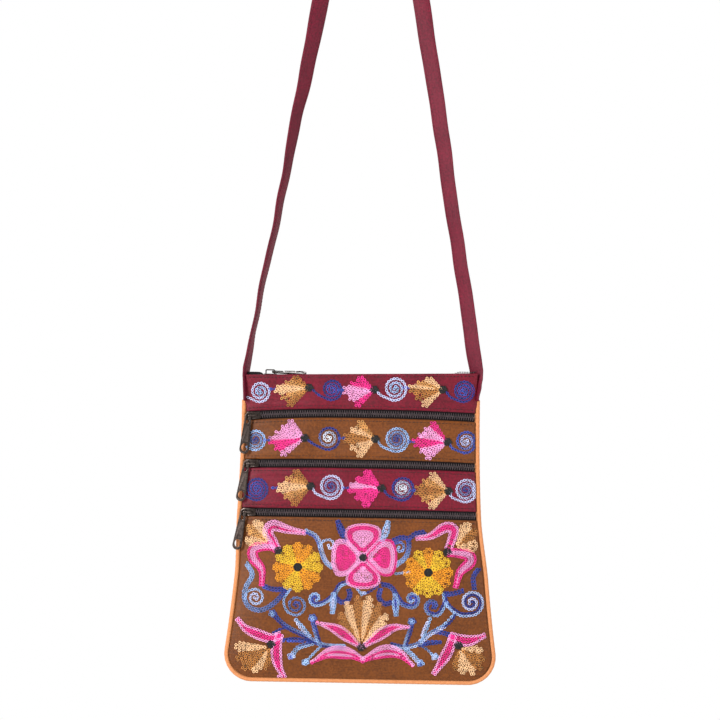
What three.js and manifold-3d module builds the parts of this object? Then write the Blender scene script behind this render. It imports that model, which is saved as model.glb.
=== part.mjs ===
// An embroidered shoulder bag: a flat pouch of satin bands with four zips, on one long cloth strap.
// Millimetres, +Z up. The front faces -Y, and the origin is where the loop of the strap hangs.
import * as THREE from "three";
import { mergeVertices } from "three/addons/utils/BufferGeometryUtils.js";
import Module from "manifold-3d";

const wasm = await Module();
wasm.setup();

const radians = THREE.MathUtils.degToRad;

// Pouch outline, measured from the middle of the top edge
const POUCH_TOP = -480;
const POUCH_HEIGHT = 247.4;
const TOP_HALF_WIDTH = 95.2;
const SIDE_FLARE = 13.2;
const FLARE_POWER = 2.1;
const FLARE_ANGLE = radians(8);
const CORNER_RADIUS = 22.4;

// Cloth walls and how far they bow apart
const CLOTH = 1;
const GAP = 0.3;
const BULGE = 6;
const LENGTHWISE_POWER = 3;
const CROWN_POWER = 5;
const SEAM_HALF_DEPTH = 0.5;
const MOUTH_HALF_DEPTH = 4.4;
const MOUTH_POWER = 1.5;

// The top edge's right end stands this far above its middle, and its left end as far below
const TOP_TILT = 2;

// Piping, a covered cord in the side and bottom seam
const PIPING_DIAMETER = 3.4;
const PIPING_START = 24;
const PIPING_SIDES = 8;

// Strap, a flat loop over a slim peg, sewn to the pouch sides at both ends
const STRAP_WIDTH = 14;
const STRAP_THICKNESS = 2.2;
const STRAP_SEWN_X = 93.8;
const STRAP_SEWN_HEIGHTS = [-23.4, -15, -8, -3];
const STRAP_RUN_START = 0.008;
const HANG_RADIUS = 9;

// How far the strap's width is turned out of the front view, by height above the pouch's top edge
const STRAP_TURNS = [
  { height: -24, left: 84, right: 84 },
  { height: 3, left: 84, right: 84 },
  { height: 17, left: 83, right: 42 },
  { height: 34, left: 82, right: 42 },
  { height: 106, left: 75, right: 46 },
  { height: 154, left: 71, right: 42 },
  { height: 202, left: 57, right: 34 },
  { height: 250, left: 37, right: 30 },
  { height: 298, left: 14, right: 25 },
  { height: 390, left: 50, right: 55 },
  { height: 462, left: 90, right: 90 },
  { height: 490, left: 90, right: 90 },
];

// Front zips: depth of the middle below the top edge, and how far each end droops below it
const FRONT_ZIPS = [
  { name: "front_zip_1", depth: 31.7, leftDroop: 3.4, rightDroop: 1.8 },
  { name: "front_zip_2", depth: 71.8, leftDroop: 1.3, rightDroop: 1.6 },
  { name: "front_zip_3", depth: 111.3, leftDroop: 0.5, rightDroop: 0.9 },
];
const DROOP_POWER = 2.5;
const SLOT_HALF_HEIGHT = 3.5;

// Tape, chain and slider levels, outwards from the face of the cloth
const TAPE_LEVELS = { outer: -1.3, inner: -1.8 };
const TAPE_WIDTH = 8;
const TAPE_REACH = 0.97;
const TAPE_PARTING = { open: 2, shut: 6, halfGap: 1.2 };
const CHAIN_LEVELS = { outer: 0.6, inner: -1 };
const CHAIN_WIDTH = 4.6;
const CHAIN_REACH = 0.955;

// Slider, along the zip with its nose to the left, and the pull on its bridge
const SLIDER = {
  cornerRadius: 1.4,
  upperWing: { low: 0.9, high: 1.9, start: -5.5, end: 5.5, noseHalfWidth: 3.2, tailHalfWidth: 2.9 },
  lowerWing: { low: -2.9, high: -2.1, start: -3.4, end: 5, noseHalfWidth: 2.7, tailHalfWidth: 2.5 },
  post: { start: -3.2, end: -1.8, width: 1.6 },
  flange: { start: -1.4, end: 5, inside: 2.6, outside: 3, low: -1 },
  legDiameter: 1.5,
  leftLeg: -4,
  rightLeg: 2.9,
  bar: { low: 3.9, high: 4.7, overhang: 0.9 },
};
const SLIDER_INSET = 6.1;
const TOP_SLIDER_X = -72.4;
const TOP_ZIP_DEPTH = 2.6;
const TOP_FLANGE_DEPTH = 8;
const JOIN = 0.05;

const PULL = {
  frontLength: 30.7,
  topLength: 25.2,
  eyeRadius: 2.45,
  footRadius: 3.9,
  windowRadius: 1.2,
  windowLength: 6.2,
  holeFromFoot: 5.3,
  holeHalfWidth: 2.5,
  holeHalfLength: 3.2,
  low: 2.3,
  thickness: 1.2,
};
const FRONT_PULL_LEAN = radians(-10.5);
const TOP_PULL_X = 1.4;
const TOP_PULL_DROOP = radians(2.6);

// How finely the curved pieces are divided
const FACE_COLUMNS = 16;
const PIPING_STEP = 16;
const CORNER_STEPS = 6;
const STRAP_RUN_STEPS = 26;
const STRAP_ARCH_STEPS = 4;
const CURVE_SEGMENTS = 4;

// Values worked out from the sizes above
const EDGE_INSET = PIPING_DIAMETER + GAP;
const FACE_FOOT = POUCH_HEIGHT - EDGE_INSET;
const CORNER_DEPTH = POUCH_HEIGHT - CORNER_RADIUS;
const ARC_START = CORNER_DEPTH - CORNER_RADIUS * Math.sin(FLARE_ANGLE);
const CORNER_X = TOP_HALF_WIDTH + SIDE_FLARE - CORNER_RADIUS * Math.cos(FLARE_ANGLE);

const smooth = (low, high, value) => THREE.MathUtils.smoothstep(value, low, high);

// Places across the face from -1 to 1 for u from 0 to 1, closer together towards the sides
const spread = (u) => Math.sin(Math.PI * (u - 0.5));

// Finishes
function finish(color, roughness, metalness = 0) {
  return () => new THREE.MeshStandardMaterial({ color, roughness, metalness });
}
const maroonCloth = finish(0x8c3546, 0.55);
const brownCloth = finish(0x914f2b, 0.55);
const orangeCloth = finish(0xeb9655, 0.7);
const zipTape = finish(0x2c2427, 0.9);
const zipTeeth = finish(0x241f22, 0.5);
const gunmetal = finish(0x4a4547, 0.35, 0.9);

// Half the width of the pouch at a depth, a given distance inside its outer edge
function halfWidth(depth, inset) {
  if (depth > ARC_START) {
    const drop = depth - CORNER_DEPTH;
    return CORNER_X + Math.sqrt(Math.max(0, (CORNER_RADIUS - inset) ** 2 - drop ** 2));
  }
  const along = Math.max(0, (depth - PIPING_START) / (ARC_START - PIPING_START));
  return TOP_HALF_WIDTH + SIDE_FLARE * along ** FLARE_POWER - inset;
}

// Half the hollow's depth, from the middle plane to the inside of the cloth
function hollowHalfDepth(across, depth) {
  const lengthwise = Math.abs((2 * depth) / FACE_FOOT - 1) ** LENGTHWISE_POWER;
  const crosswise = Math.abs(across) ** CROWN_POWER;
  const mouth = Math.max(0, 1 - depth / PIPING_START) ** MOUTH_POWER;
  const seam = SEAM_HALF_DEPTH + (MOUTH_HALF_DEPTH - SEAM_HALF_DEPTH) * mouth;
  return seam + BULGE * (1 - lengthwise) * (1 - crosswise);
}

// A point on the pouch: across runs from -1 to 1, level is outwards from the cloth's face
function facePoint(across, depth, level, side = -1) {
  const away = hollowHalfDepth(across, depth) + CLOTH + level;
  return new THREE.Vector3(across * halfWidth(depth, EDGE_INSET), side * away, POUCH_TOP - depth);
}

// Closed solid from points and triangles, turned so that its faces point outwards
function closedSolid(points, faces) {
  const volume = faces.reduce((sum, _, k) => {
    if (k % 3) return sum;
    const [a, b, c] = [points[faces[k]], points[faces[k + 1]], points[faces[k + 2]]];
    return sum + a.dot(b.clone().cross(c));
  }, 0);
  const geometry = new THREE.BufferGeometry().setFromPoints(points);
  geometry.setIndex(volume < 0 ? faces.slice().reverse() : faces);
  return geometry;
}

// Sheet with thickness: place(u, v, layer) gives the outer layer 0 and the inner layer 1
function sheet(columns, rows, place) {
  const points = [];
  for (const layer of [0, 1])
    for (let j = 0; j <= rows; j++)
      for (let i = 0; i <= columns; i++) points.push(place(i / columns, j / rows, layer));
  const at = (i, j, layer) => (layer * (rows + 1) + j) * (columns + 1) + i;
  const faces = [];
  const quad = (a, b, c, d) => faces.push(a, b, c, a, c, d);
  for (let j = 0; j < rows; j++)
    for (let i = 0; i < columns; i++) {
      quad(at(i, j, 0), at(i, j + 1, 0), at(i + 1, j + 1, 0), at(i + 1, j, 0));
      quad(at(i, j, 1), at(i + 1, j, 1), at(i + 1, j + 1, 1), at(i, j + 1, 1));
    }
  for (let i = 0; i < columns; i++) {
    quad(at(i, 0, 0), at(i + 1, 0, 0), at(i + 1, 0, 1), at(i, 0, 1));
    quad(at(i, rows, 0), at(i, rows, 1), at(i + 1, rows, 1), at(i + 1, rows, 0));
  }
  for (let j = 0; j < rows; j++) {
    quad(at(0, j, 0), at(0, j, 1), at(0, j + 1, 1), at(0, j + 1, 0));
    quad(at(columns, j, 0), at(columns, j + 1, 0), at(columns, j + 1, 1), at(columns, j, 1));
  }
  return closedSolid(points, faces);
}

// Solid through rings of points, closed by a fan from each end ring's first point
function loft(rings) {
  const count = rings[0].length;
  const faces = [];
  for (let k = 0; k + 1 < rings.length; k++)
    for (let i = 0; i < count; i++) {
      const [a, b] = [k * count + i, k * count + ((i + 1) % count)];
      faces.push(a, b, b + count, a, b + count, a + count);
    }
  const last = (rings.length - 1) * count;
  for (let i = 1; i + 1 < count; i++) {
    faces.push(0, i + 1, i);
    faces.push(last, last + i, last + i + 1);
  }
  return closedSolid(rings.flat(), faces);
}

// Positions alone, with shared corners merged
function merged(geometry) {
  geometry.deleteAttribute("normal");
  geometry.deleteAttribute("uv");
  return mergeVertices(geometry, 1e-4);
}

// One solid from several overlapping ones
function joined(geometries) {
  const solids = geometries.map((geometry) => {
    const clean = merged(geometry);
    return new wasm.Manifold(
      new wasm.Mesh({
        numProp: 3,
        vertProperties: new Float32Array(clean.getAttribute("position").array),
        triVerts: new Uint32Array(clean.index.array),
      }),
    );
  });
  const mesh = solids.reduce((whole, piece) => whole.add(piece)).getMesh();
  const geometry = new THREE.BufferGeometry();
  geometry.setAttribute("position", new THREE.BufferAttribute(new Float32Array(mesh.vertProperties), 3));
  geometry.setIndex(new THREE.BufferAttribute(new Uint32Array(mesh.triVerts), 1));
  return geometry;
}

function named(name, geometry, material) {
  const mesh = new THREE.Mesh(geometry, material());
  mesh.name = name;
  return mesh;
}

// Depth of a front zip's middle line
function zipDepth(zip, across) {
  const droop = across < 0 ? zip.leftDroop : zip.rightDroop;
  return zip.depth + droop * Math.abs(across) ** DROOP_POWER;
}

// Cloth pieces between an upper and a lower edge, each a depth that depends on across
function clothPiece({ name, upper, lower, rows, material, spacing = (v) => v, side = -1 }) {
  const place = (u, v, layer) => {
    const across = spread(u);
    const depth = THREE.MathUtils.lerp(upper(across), lower(across), spacing(v));
    return facePoint(across, depth, -layer * CLOTH, side);
  };
  return named(name, sheet(FACE_COLUMNS, rows, place), material);
}

function clothPieces() {
  const [first, second, third] = FRONT_ZIPS;
  const above = (zip) => (across) => zipDepth(zip, across) - SLOT_HALF_HEIGHT;
  const below = (zip) => (across) => zipDepth(zip, across) + SLOT_HALF_HEIGHT;
  const top = (across) => -TOP_TILT * across;
  const foot = () => FACE_FOOT;
  const closerBelow = (v) => Math.sin((Math.PI / 2) * v);
  const closerAtEnds = (v) => (1 + spread(v)) / 2;
  const [maroon, brown] = [{ material: maroonCloth }, { material: brownCloth }];
  return [
    { name: "top_band", upper: top, lower: above(first), rows: 5, ...maroon },
    { name: "second_band", upper: below(first), lower: above(second), rows: 3, ...brown },
    { name: "third_band", upper: below(second), lower: above(third), rows: 3, ...maroon },
    { name: "main_panel", upper: below(third), lower: foot, rows: 12, spacing: closerBelow, ...brown },
    { name: "back_panel", upper: top, lower: foot, rows: 18, spacing: closerAtEnds, side: 1, ...maroon },
  ].map(clothPiece);
}

// Middle line of the piping, from its left upper end round the bottom to its right upper end
function pipingPath() {
  const radius = PIPING_DIAMETER / 2;
  const sideSteps = Math.round((ARC_START - PIPING_START) / PIPING_STEP);
  const arcRadius = CORNER_RADIUS - radius;
  const right = [];
  for (let k = 0; k < sideSteps; k++) {
    const depth = THREE.MathUtils.lerp(PIPING_START, ARC_START, k / sideSteps);
    right.push(new THREE.Vector2(halfWidth(depth, radius), POUCH_TOP - depth));
  }
  for (let k = 0; k <= CORNER_STEPS; k++) {
    const angle = THREE.MathUtils.lerp(FLARE_ANGLE, -Math.PI / 2, k / CORNER_STEPS);
    const x = CORNER_X + arcRadius * Math.cos(angle);
    right.push(new THREE.Vector2(x, POUCH_TOP - CORNER_DEPTH + arcRadius * Math.sin(angle)));
  }
  const bottomSteps = Math.round(CORNER_X / PIPING_STEP);
  for (let k = 1; k <= bottomSteps; k++) {
    right.push(new THREE.Vector2(CORNER_X * (1 - k / bottomSteps), POUCH_TOP - POUCH_HEIGHT + radius));
  }
  const left = right.slice(0, -1).map((point) => new THREE.Vector2(-point.x, point.y));
  return [...left, ...right.reverse()];
}

// Direction of a path in the XZ plane at one of its points
function direction(path, k) {
  const before = path[Math.max(k - 1, 0)];
  const after = path[Math.min(k + 1, path.length - 1)];
  return new THREE.Vector2().subVectors(after, before).normalize();
}

function piping() {
  const path = pipingPath();
  const rings = path.map((point, k) => {
    const along = direction(path, k);
    return Array.from({ length: PIPING_SIDES }, (_, i) => {
      const angle = ((i + 0.5) / PIPING_SIDES) * 2 * Math.PI;
      const out = (PIPING_DIAMETER / 2) * Math.cos(angle);
      const y = (PIPING_DIAMETER / 2) * Math.sin(angle);
      return new THREE.Vector3(point.x + out * along.y, y, point.y - out * along.x);
    });
  });
  return named("piping", loft(rings), orangeCloth);
}

// The strap's turn out of the front view on one side, at a height above the pouch
function strapTurn(height, column) {
  const next = Math.max(1, STRAP_TURNS.findIndex((row) => row.height >= height));
  const [low, high] = [STRAP_TURNS[next - 1], STRAP_TURNS[next]];
  const part = smooth(low.height, high.height, height);
  return radians(THREE.MathUtils.lerp(low[column], high[column], part));
}

// Middle line of the right half of the strap, from the sewn end up to the top of the loop
function strapHalf() {
  const radius = HANG_RADIUS + STRAP_THICKNESS / 2;
  const rise = -POUCH_TOP - HANG_RADIUS;
  const slope = Math.atan2(STRAP_SEWN_X, rise) - Math.asin(radius / Math.hypot(STRAP_SEWN_X, rise));
  const tangent = new THREE.Vector2(radius * Math.cos(slope), radius * Math.sin(slope) - HANG_RADIUS);
  const corner = new THREE.Vector2(STRAP_SEWN_X, POUCH_TOP);
  const points = STRAP_SEWN_HEIGHTS.map((height) => new THREE.Vector2(STRAP_SEWN_X, POUCH_TOP + height));
  for (let k = 0; k <= STRAP_RUN_STEPS; k++) {
    points.push(corner.clone().lerp(tangent, THREE.MathUtils.lerp(STRAP_RUN_START, 1, k / STRAP_RUN_STEPS)));
  }
  for (let k = 1; k <= STRAP_ARCH_STEPS; k++) {
    const angle = THREE.MathUtils.lerp(slope, Math.PI / 2, k / STRAP_ARCH_STEPS);
    points.push(new THREE.Vector2(radius * Math.cos(angle), radius * Math.sin(angle) - HANG_RADIUS));
  }
  return points;
}

function strap() {
  const right = strapHalf();
  const left = right.slice(0, -1).map((point) => new THREE.Vector2(-point.x, point.y));
  const path = [...left, ...right.reverse()];
  const rings = path.map((point, k) => {
    const along = direction(path, k);
    const turn = strapTurn(point.y - POUCH_TOP, point.x < 0 ? "left" : "right");
    const inward = new THREE.Vector3(along.y, 0, -along.x);
    const back = new THREE.Vector3(0, 1, 0);
    const width = inward.clone().multiplyScalar(Math.cos(turn)).addScaledVector(back, Math.sin(turn));
    const face = inward.clone().multiplyScalar(Math.sin(turn)).addScaledVector(back, -Math.cos(turn));
    const middle = new THREE.Vector3(point.x, 0, point.y);
    const corner = (w, t) =>
      middle
        .clone()
        .addScaledVector(width, (w * STRAP_WIDTH) / 2)
        .addScaledVector(face, (t * STRAP_THICKNESS) / 2);
    return [corner(-1, -1), corner(1, -1), corner(1, 1), corner(-1, 1)];
  });
  return named("strap", loft(rings), maroonCloth);
}

// How far a tape's inner edge stands from the zip's middle: it parts round the slider's post
function tapeEdge(alongSlider) {
  const shut = smooth(TAPE_PARTING.open, TAPE_PARTING.shut, alongSlider);
  return THREE.MathUtils.lerp(TAPE_PARTING.halfGap, GAP / 2, shut);
}

// A front zip's slider place: where it is across the face
function sliderAcross(zip) {
  return SLIDER_INSET / halfWidth(zip.depth, EDGE_INSET) - 1;
}

// Frame on a front zip's middle line: X along the zip, Y up the face, Z outwards
function zipFrame(zip, across) {
  const small = 1e-3;
  const at = facePoint(across, zipDepth(zip, across), 0);
  const ahead = facePoint(across + small, zipDepth(zip, across + small), 0);
  const higher = facePoint(across, zipDepth(zip, across) - small, 0);
  const along = ahead.sub(at).normalize();
  const outward = along.clone().cross(higher.sub(at)).normalize();
  const up = outward.clone().cross(along);
  return new THREE.Matrix4().makeBasis(along, up, outward).setPosition(at);
}

function frontTape(zip, name, sign) {
  const middle = sliderAcross(zip);
  const reach = halfWidth(zip.depth, EDGE_INSET);
  const place = (u, v, layer) => {
    const across = TAPE_REACH * spread(u);
    const away = THREE.MathUtils.lerp(tapeEdge((across - middle) * reach), TAPE_WIDTH, v);
    const level = layer ? TAPE_LEVELS.inner : TAPE_LEVELS.outer;
    return facePoint(across, zipDepth(zip, across) + sign * away, level);
  };
  return named(name, sheet(FACE_COLUMNS, 1, place), zipTape);
}

function frontChain(zip) {
  const start = sliderAcross(zip);
  const place = (u, v, layer) => {
    const across = THREE.MathUtils.lerp(start, CHAIN_REACH, u);
    const depth = zipDepth(zip, across) + CHAIN_WIDTH * (v - 0.5);
    return facePoint(across, depth, layer ? CHAIN_LEVELS.inner : CHAIN_LEVELS.outer);
  };
  return named(`${zip.name}_chain`, sheet(FACE_COLUMNS, 1, place), zipTeeth);
}

// The top zip lies flat in the mouth, facing up, with a flange of each tape sewn down inside the wall
function topTape(name, side) {
  const reach = TAPE_REACH * halfWidth(0, EDGE_INSET);
  const [high, low] = [TOP_ZIP_DEPTH - TAPE_LEVELS.outer, TOP_ZIP_DEPTH - TAPE_LEVELS.inner];
  const rings = Array.from({ length: FACE_COLUMNS + 1 }, (_, k) => {
    const across = TAPE_REACH * spread(k / FACE_COLUMNS);
    const x = (reach * across) / TAPE_REACH;
    const inner = side * tapeEdge(x - TOP_SLIDER_X);
    const sewn = (depth, level) => facePoint(across, depth, level, side).setX(x);
    return [
      sewn(low, TAPE_LEVELS.inner),
      new THREE.Vector3(x, inner, POUCH_TOP - low),
      new THREE.Vector3(x, inner, POUCH_TOP - high),
      sewn(high, TAPE_LEVELS.outer),
      sewn(TOP_FLANGE_DEPTH, TAPE_LEVELS.outer),
      sewn(TOP_FLANGE_DEPTH, TAPE_LEVELS.inner),
    ];
  });
  return named(name, loft(rings), zipTape);
}

function topChain() {
  const end = CHAIN_REACH * halfWidth(0, EDGE_INSET);
  const place = (u, v, layer) => {
    const level = layer ? CHAIN_LEVELS.inner : CHAIN_LEVELS.outer;
    const x = THREE.MathUtils.lerp(TOP_SLIDER_X, end, u);
    return new THREE.Vector3(x, CHAIN_WIDTH * (0.5 - v), POUCH_TOP - TOP_ZIP_DEPTH + level);
  };
  return named("top_zip_chain", sheet(FACE_COLUMNS, 1, place), zipTeeth);
}

// A box between two corners
function block(low, high) {
  const box = new THREE.Box3(new THREE.Vector3(...low), new THREE.Vector3(...high));
  const size = box.getSize(new THREE.Vector3());
  const middle = box.getCenter(new THREE.Vector3());
  return new THREE.BoxGeometry(size.x, size.y, size.z).translate(middle.x, middle.y, middle.z);
}

// A wing of the slider: broad at the nose, narrower at the tail, with round corners
function wing({ low, high, start, end, noseHalfWidth: nose, tailHalfWidth: tail }) {
  const round = SLIDER.cornerRadius;
  const shape = new THREE.Shape();
  shape.moveTo(start + round, -nose);
  shape.lineTo(end - round, -tail);
  shape.quadraticCurveTo(end, -tail, end, -tail + round);
  shape.lineTo(end, tail - round);
  shape.quadraticCurveTo(end, tail, end - round, tail);
  shape.lineTo(start + round, nose);
  shape.quadraticCurveTo(start, nose, start, nose - round);
  shape.lineTo(start, round - nose);
  shape.quadraticCurveTo(start, -nose, start + round, -nose);
  return plate(shape, low, high - low);
}

function plate(shape, low, thickness) {
  const options = { depth: thickness, bevelEnabled: false, curveSegments: CURVE_SEGMENTS };
  return new THREE.ExtrudeGeometry(shape, options).translate(0, 0, low);
}

function sliderGeometry() {
  const { upperWing, lowerWing, post, flange, bar, leftLeg, rightLeg } = SLIDER;
  const legRadius = SLIDER.legDiameter / 2;
  const nose = block(
    [post.start, -post.width / 2, lowerWing.high - JOIN],
    [post.end, post.width / 2, upperWing.low + JOIN],
  );
  const flanges = [-1, 1].map((sign) =>
    block(
      [flange.start, Math.min(sign * flange.inside, sign * flange.outside), flange.low],
      [flange.end, Math.max(sign * flange.inside, sign * flange.outside), upperWing.low + JOIN],
    ),
  );
  const legHeight = bar.low - upperWing.high + 2 * JOIN;
  const legs = [leftLeg, rightLeg].map((x) =>
    new THREE.CylinderGeometry(legRadius, legRadius, legHeight, 2 * CURVE_SEGMENTS)
      .rotateX(Math.PI / 2)
      .translate(x, 0, (bar.low + upperWing.high) / 2),
  );
  const bridge = block(
    [leftLeg - bar.overhang, -legRadius, bar.low],
    [rightLeg + bar.overhang, legRadius, bar.high],
  );
  return joined([wing(upperWing), wing(lowerWing), nose, ...flanges, ...legs, bridge]);
}

// Pull tab hanging along -Y from the middle of its eye
function pullGeometry(length) {
  const { eyeRadius, footRadius, windowRadius, windowLength } = PULL;
  const shape = new THREE.Shape();
  shape.absarc(0, 0, eyeRadius, 0, Math.PI, false);
  shape.absarc(0, footRadius - length, footRadius, Math.PI, 2 * Math.PI, false);
  const window = new THREE.Path();
  window.absarc(0, 0, windowRadius, 0, Math.PI, false);
  window.lineTo(-windowRadius, -windowLength);
  window.lineTo(windowRadius, -windowLength);
  const hole = new THREE.Path();
  hole.absellipse(0, PULL.holeFromFoot - length, PULL.holeHalfWidth, PULL.holeHalfLength, 0, 2 * Math.PI, false);
  shape.holes.push(window, hole);
  return merged(plate(shape, PULL.low, PULL.thickness));
}

// Slider and pull of a front zip: the pull hangs from the left leg and turns about it
function frontSlider(zip) {
  const group = new THREE.Group();
  group.applyMatrix4(zipFrame(zip, sliderAcross(zip)));
  const pull = named(`${zip.name}_pull`, pullGeometry(PULL.frontLength), gunmetal);
  pull.position.x = SLIDER.leftLeg;
  pull.rotation.z = FRONT_PULL_LEAN;
  group.add(named(`${zip.name}_slider`, sliderGeometry(), gunmetal), pull);
  return group;
}

// Slider and pull of the top zip: the pull's cross bar lies under the bridge, and its tip rests low
function topSlider() {
  const group = new THREE.Group();
  group.position.set(TOP_SLIDER_X, 0, POUCH_TOP - TOP_ZIP_DEPTH);
  const hinge = new THREE.Group();
  hinge.position.set(TOP_PULL_X, 0, PULL.low + PULL.thickness / 2);
  hinge.rotation.y = TOP_PULL_DROOP;
  const pull = named("top_zip_pull", pullGeometry(PULL.topLength), gunmetal);
  const crossBar = (PULL.eyeRadius + PULL.windowRadius) / 2;
  pull.rotation.z = Math.PI / 2;
  pull.position.set(crossBar, 0, -PULL.low - PULL.thickness / 2);
  hinge.add(pull);
  group.add(named("top_zip_slider", sliderGeometry(), gunmetal), hinge);
  return group;
}

const bag = new THREE.Group();
bag.add(...clothPieces(), piping(), strap());
bag.add(topTape("top_zip_front_tape", -1), topTape("top_zip_back_tape", 1), topChain(), topSlider());
for (const zip of FRONT_ZIPS) {
  bag.add(
    frontTape(zip, `${zip.name}_upper_tape`, -1),
    frontTape(zip, `${zip.name}_lower_tape`, 1),
    frontChain(zip),
    frontSlider(zip),
  );
}

export default bag;
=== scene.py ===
# An embroidered shoulder bag: its cloth, zips and chain stitching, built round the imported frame
import math
import random
from collections import namedtuple

import bmesh
import bpy
import numpy as np
from mathutils import Matrix, Vector


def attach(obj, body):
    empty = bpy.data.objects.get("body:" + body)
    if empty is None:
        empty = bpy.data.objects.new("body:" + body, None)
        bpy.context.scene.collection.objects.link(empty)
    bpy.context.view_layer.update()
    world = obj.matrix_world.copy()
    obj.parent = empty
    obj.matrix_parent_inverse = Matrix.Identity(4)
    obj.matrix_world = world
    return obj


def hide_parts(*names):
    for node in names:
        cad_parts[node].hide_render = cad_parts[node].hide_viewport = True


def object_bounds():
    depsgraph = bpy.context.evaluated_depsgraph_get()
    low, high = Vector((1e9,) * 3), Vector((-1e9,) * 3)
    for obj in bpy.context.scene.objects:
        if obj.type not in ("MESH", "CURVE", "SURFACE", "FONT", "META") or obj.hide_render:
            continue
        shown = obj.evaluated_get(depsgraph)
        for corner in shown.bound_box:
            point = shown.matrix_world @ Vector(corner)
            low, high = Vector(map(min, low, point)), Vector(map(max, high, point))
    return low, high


bl_info = {
    "name": "Embroidered shoulder bag",
    "version": (1, 0, 0),
    "blender": (4, 5, 0),
    "location": "3D View > Sidebar > Bag",
    "description": "Cloth, zips and chain-stitch embroidery of a flat shoulder bag",
    "category": "Add Mesh",
}

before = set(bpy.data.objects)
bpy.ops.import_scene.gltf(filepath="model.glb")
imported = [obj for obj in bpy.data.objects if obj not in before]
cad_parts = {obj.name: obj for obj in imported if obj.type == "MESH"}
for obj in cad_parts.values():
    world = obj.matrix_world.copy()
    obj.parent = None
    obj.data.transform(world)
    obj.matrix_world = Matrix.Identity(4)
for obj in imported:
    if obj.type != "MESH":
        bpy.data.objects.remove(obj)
CAD_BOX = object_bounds()
MM = 0.001

# Pouch outline and walls, as the frame has them, and how its lower part leans
POUCH_TOP = -480 * MM
POUCH_HEIGHT = 247.4 * MM
TOP_HALF_WIDTH = 95.2 * MM
SIDE_FLARE = 13.2 * MM
FLARE_POWER = 2.1
FLARE_ANGLE = math.radians(8)
CORNER_RADIUS = 22.4 * MM
CLOTH = 1 * MM
BULGE = 6 * MM
LENGTHWISE_POWER = 3
CROWN_POWER = 5
SEAM_HALF_DEPTH = 0.5 * MM
MOUTH_HALF_DEPTH = 4.4 * MM
MOUTH_POWER = 1.5
TOP_TILT = 2 * MM
LEAN = 2.7 * MM
LEAN_START = 112 * MM
LEAN_END = 165 * MM
PIPING_RADIUS = 1.7 * MM
PIPING_START = 24 * MM
EDGE_INSET = 3.7 * MM
FACE_FOOT = POUCH_HEIGHT - EDGE_INSET
CORNER_DEPTH = POUCH_HEIGHT - CORNER_RADIUS
ARC_START = CORNER_DEPTH - CORNER_RADIUS * math.sin(FLARE_ANGLE)
CORNER_X = TOP_HALF_WIDTH + SIDE_FLARE - CORNER_RADIUS * math.cos(FLARE_ANGLE)

# Strap: its run, its sewn ends and how far it is turned out of the front view
STRAP_WIDTH = 14 * MM
STRAP_THICKNESS = 2.2 * MM
STRAP_SEWN_X = 92.6 * MM
LEFT_FOOT = -22.8 * MM
RIGHT_FOOT = -20 * MM
STRAP_SEWN_HEAD = -3 * MM
HANG_RADIUS = 9 * MM
STRAP_SWAY = 2.4 * MM
STRAP_SWAY_POWER = 1.5
# Turns out of the front view in degrees, at heights in millimetres above the pouch's top edge
Turn = namedtuple("Turn", "height left right")
STRAP_TURNS = (
    Turn(-24, 84, 84),
    Turn(-19, 82, 82),
    Turn(-8, 77, 62),
    Turn(3, 69, 42),
    Turn(17, 73, 36),
    Turn(34, 79, 37),
    Turn(106, 72, 40),
    Turn(154, 66, 37),
    Turn(202, 53, 30),
    Turn(250, 36, 24),
    Turn(298, 14, 15),
    Turn(390, 50, 55),
    Turn(462, 90, 90),
    Turn(490, 90, 90),
)

# Front zips: depth of the middle below the top edge, and how far each end droops below it
Zip = namedtuple("Zip", "name depth left_droop right_droop")
ZIPS = (
    Zip("front_zip_1", 31.7 * MM, 3.4 * MM, 1.8 * MM),
    Zip("front_zip_2", 71.8 * MM, 1.3 * MM, 1.6 * MM),
    Zip("front_zip_3", 111.3 * MM, 0.5 * MM, 0.9 * MM),
)
DROOP_POWER = 2.5
SLOT_HALF_HEIGHT = 3.5 * MM
TAPE_OUTER = -1.3 * MM
TAPE_INNER = -1.8 * MM
TAPE_WIDTH = 8 * MM
TAPE_REACH = 0.998
TAPE_OPEN = 2 * MM
TAPE_SHUT = 6 * MM
TAPE_HALF_GAP = 1.2 * MM
TAPE_SHUT_GAP = 0.15 * MM
CHAIN_REACH = 0.985
SLIDER_INSET = 6.1 * MM
TOP_SLIDER_X = -72.4 * MM
TOP_ZIP_DEPTH = 2.6 * MM
TOP_FLANGE_DEPTH = 8 * MM

# Slider and pull: X along the zip, Y up the face, Z outwards
Wing = namedtuple("Wing", "low high start end nose tail")
UPPER_WING = Wing(0.9 * MM, 1.6 * MM, -5.5 * MM, 5.5 * MM, 3.2 * MM, 2.9 * MM)
LOWER_WING = Wing(-2.9 * MM, -2.1 * MM, -3.4 * MM, 5 * MM, 2.7 * MM, 2.5 * MM)
WING_CORNER = 1.4 * MM
POST_START, POST_END, POST_WIDTH = -3.2 * MM, -1.8 * MM, 1.6 * MM
FLANGE_START, FLANGE_END, FLANGE_LOW = -1.4 * MM, 5 * MM, -1 * MM
FLANGE_INSIDE, FLANGE_OUTSIDE = 2.6 * MM, 3 * MM
LEFT_LEG, RIGHT_LEG = -4 * MM, 2.9 * MM
BRIDGE_MIDDLE, BRIDGE_HALF_THICKNESS, BRIDGE_HALF_WIDTH = 4.6 * MM, 0.5 * MM, 0.7 * MM
BRIDGE_BEND = 0.8 * MM
FRONT_PULL_LENGTH = 30.7 * MM
TOP_PULL_LENGTH = 25.2 * MM
PULL_EYE, PULL_FOOT = 2.45 * MM, 3.9 * MM
WINDOW_RADIUS, WINDOW_LENGTH = 1.2 * MM, 6.2 * MM
HOLE_FROM_FOOT, HOLE_HALF_WIDTH, HOLE_HALF_LENGTH = 5.3 * MM, 2.5 * MM, 3.2 * MM
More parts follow.
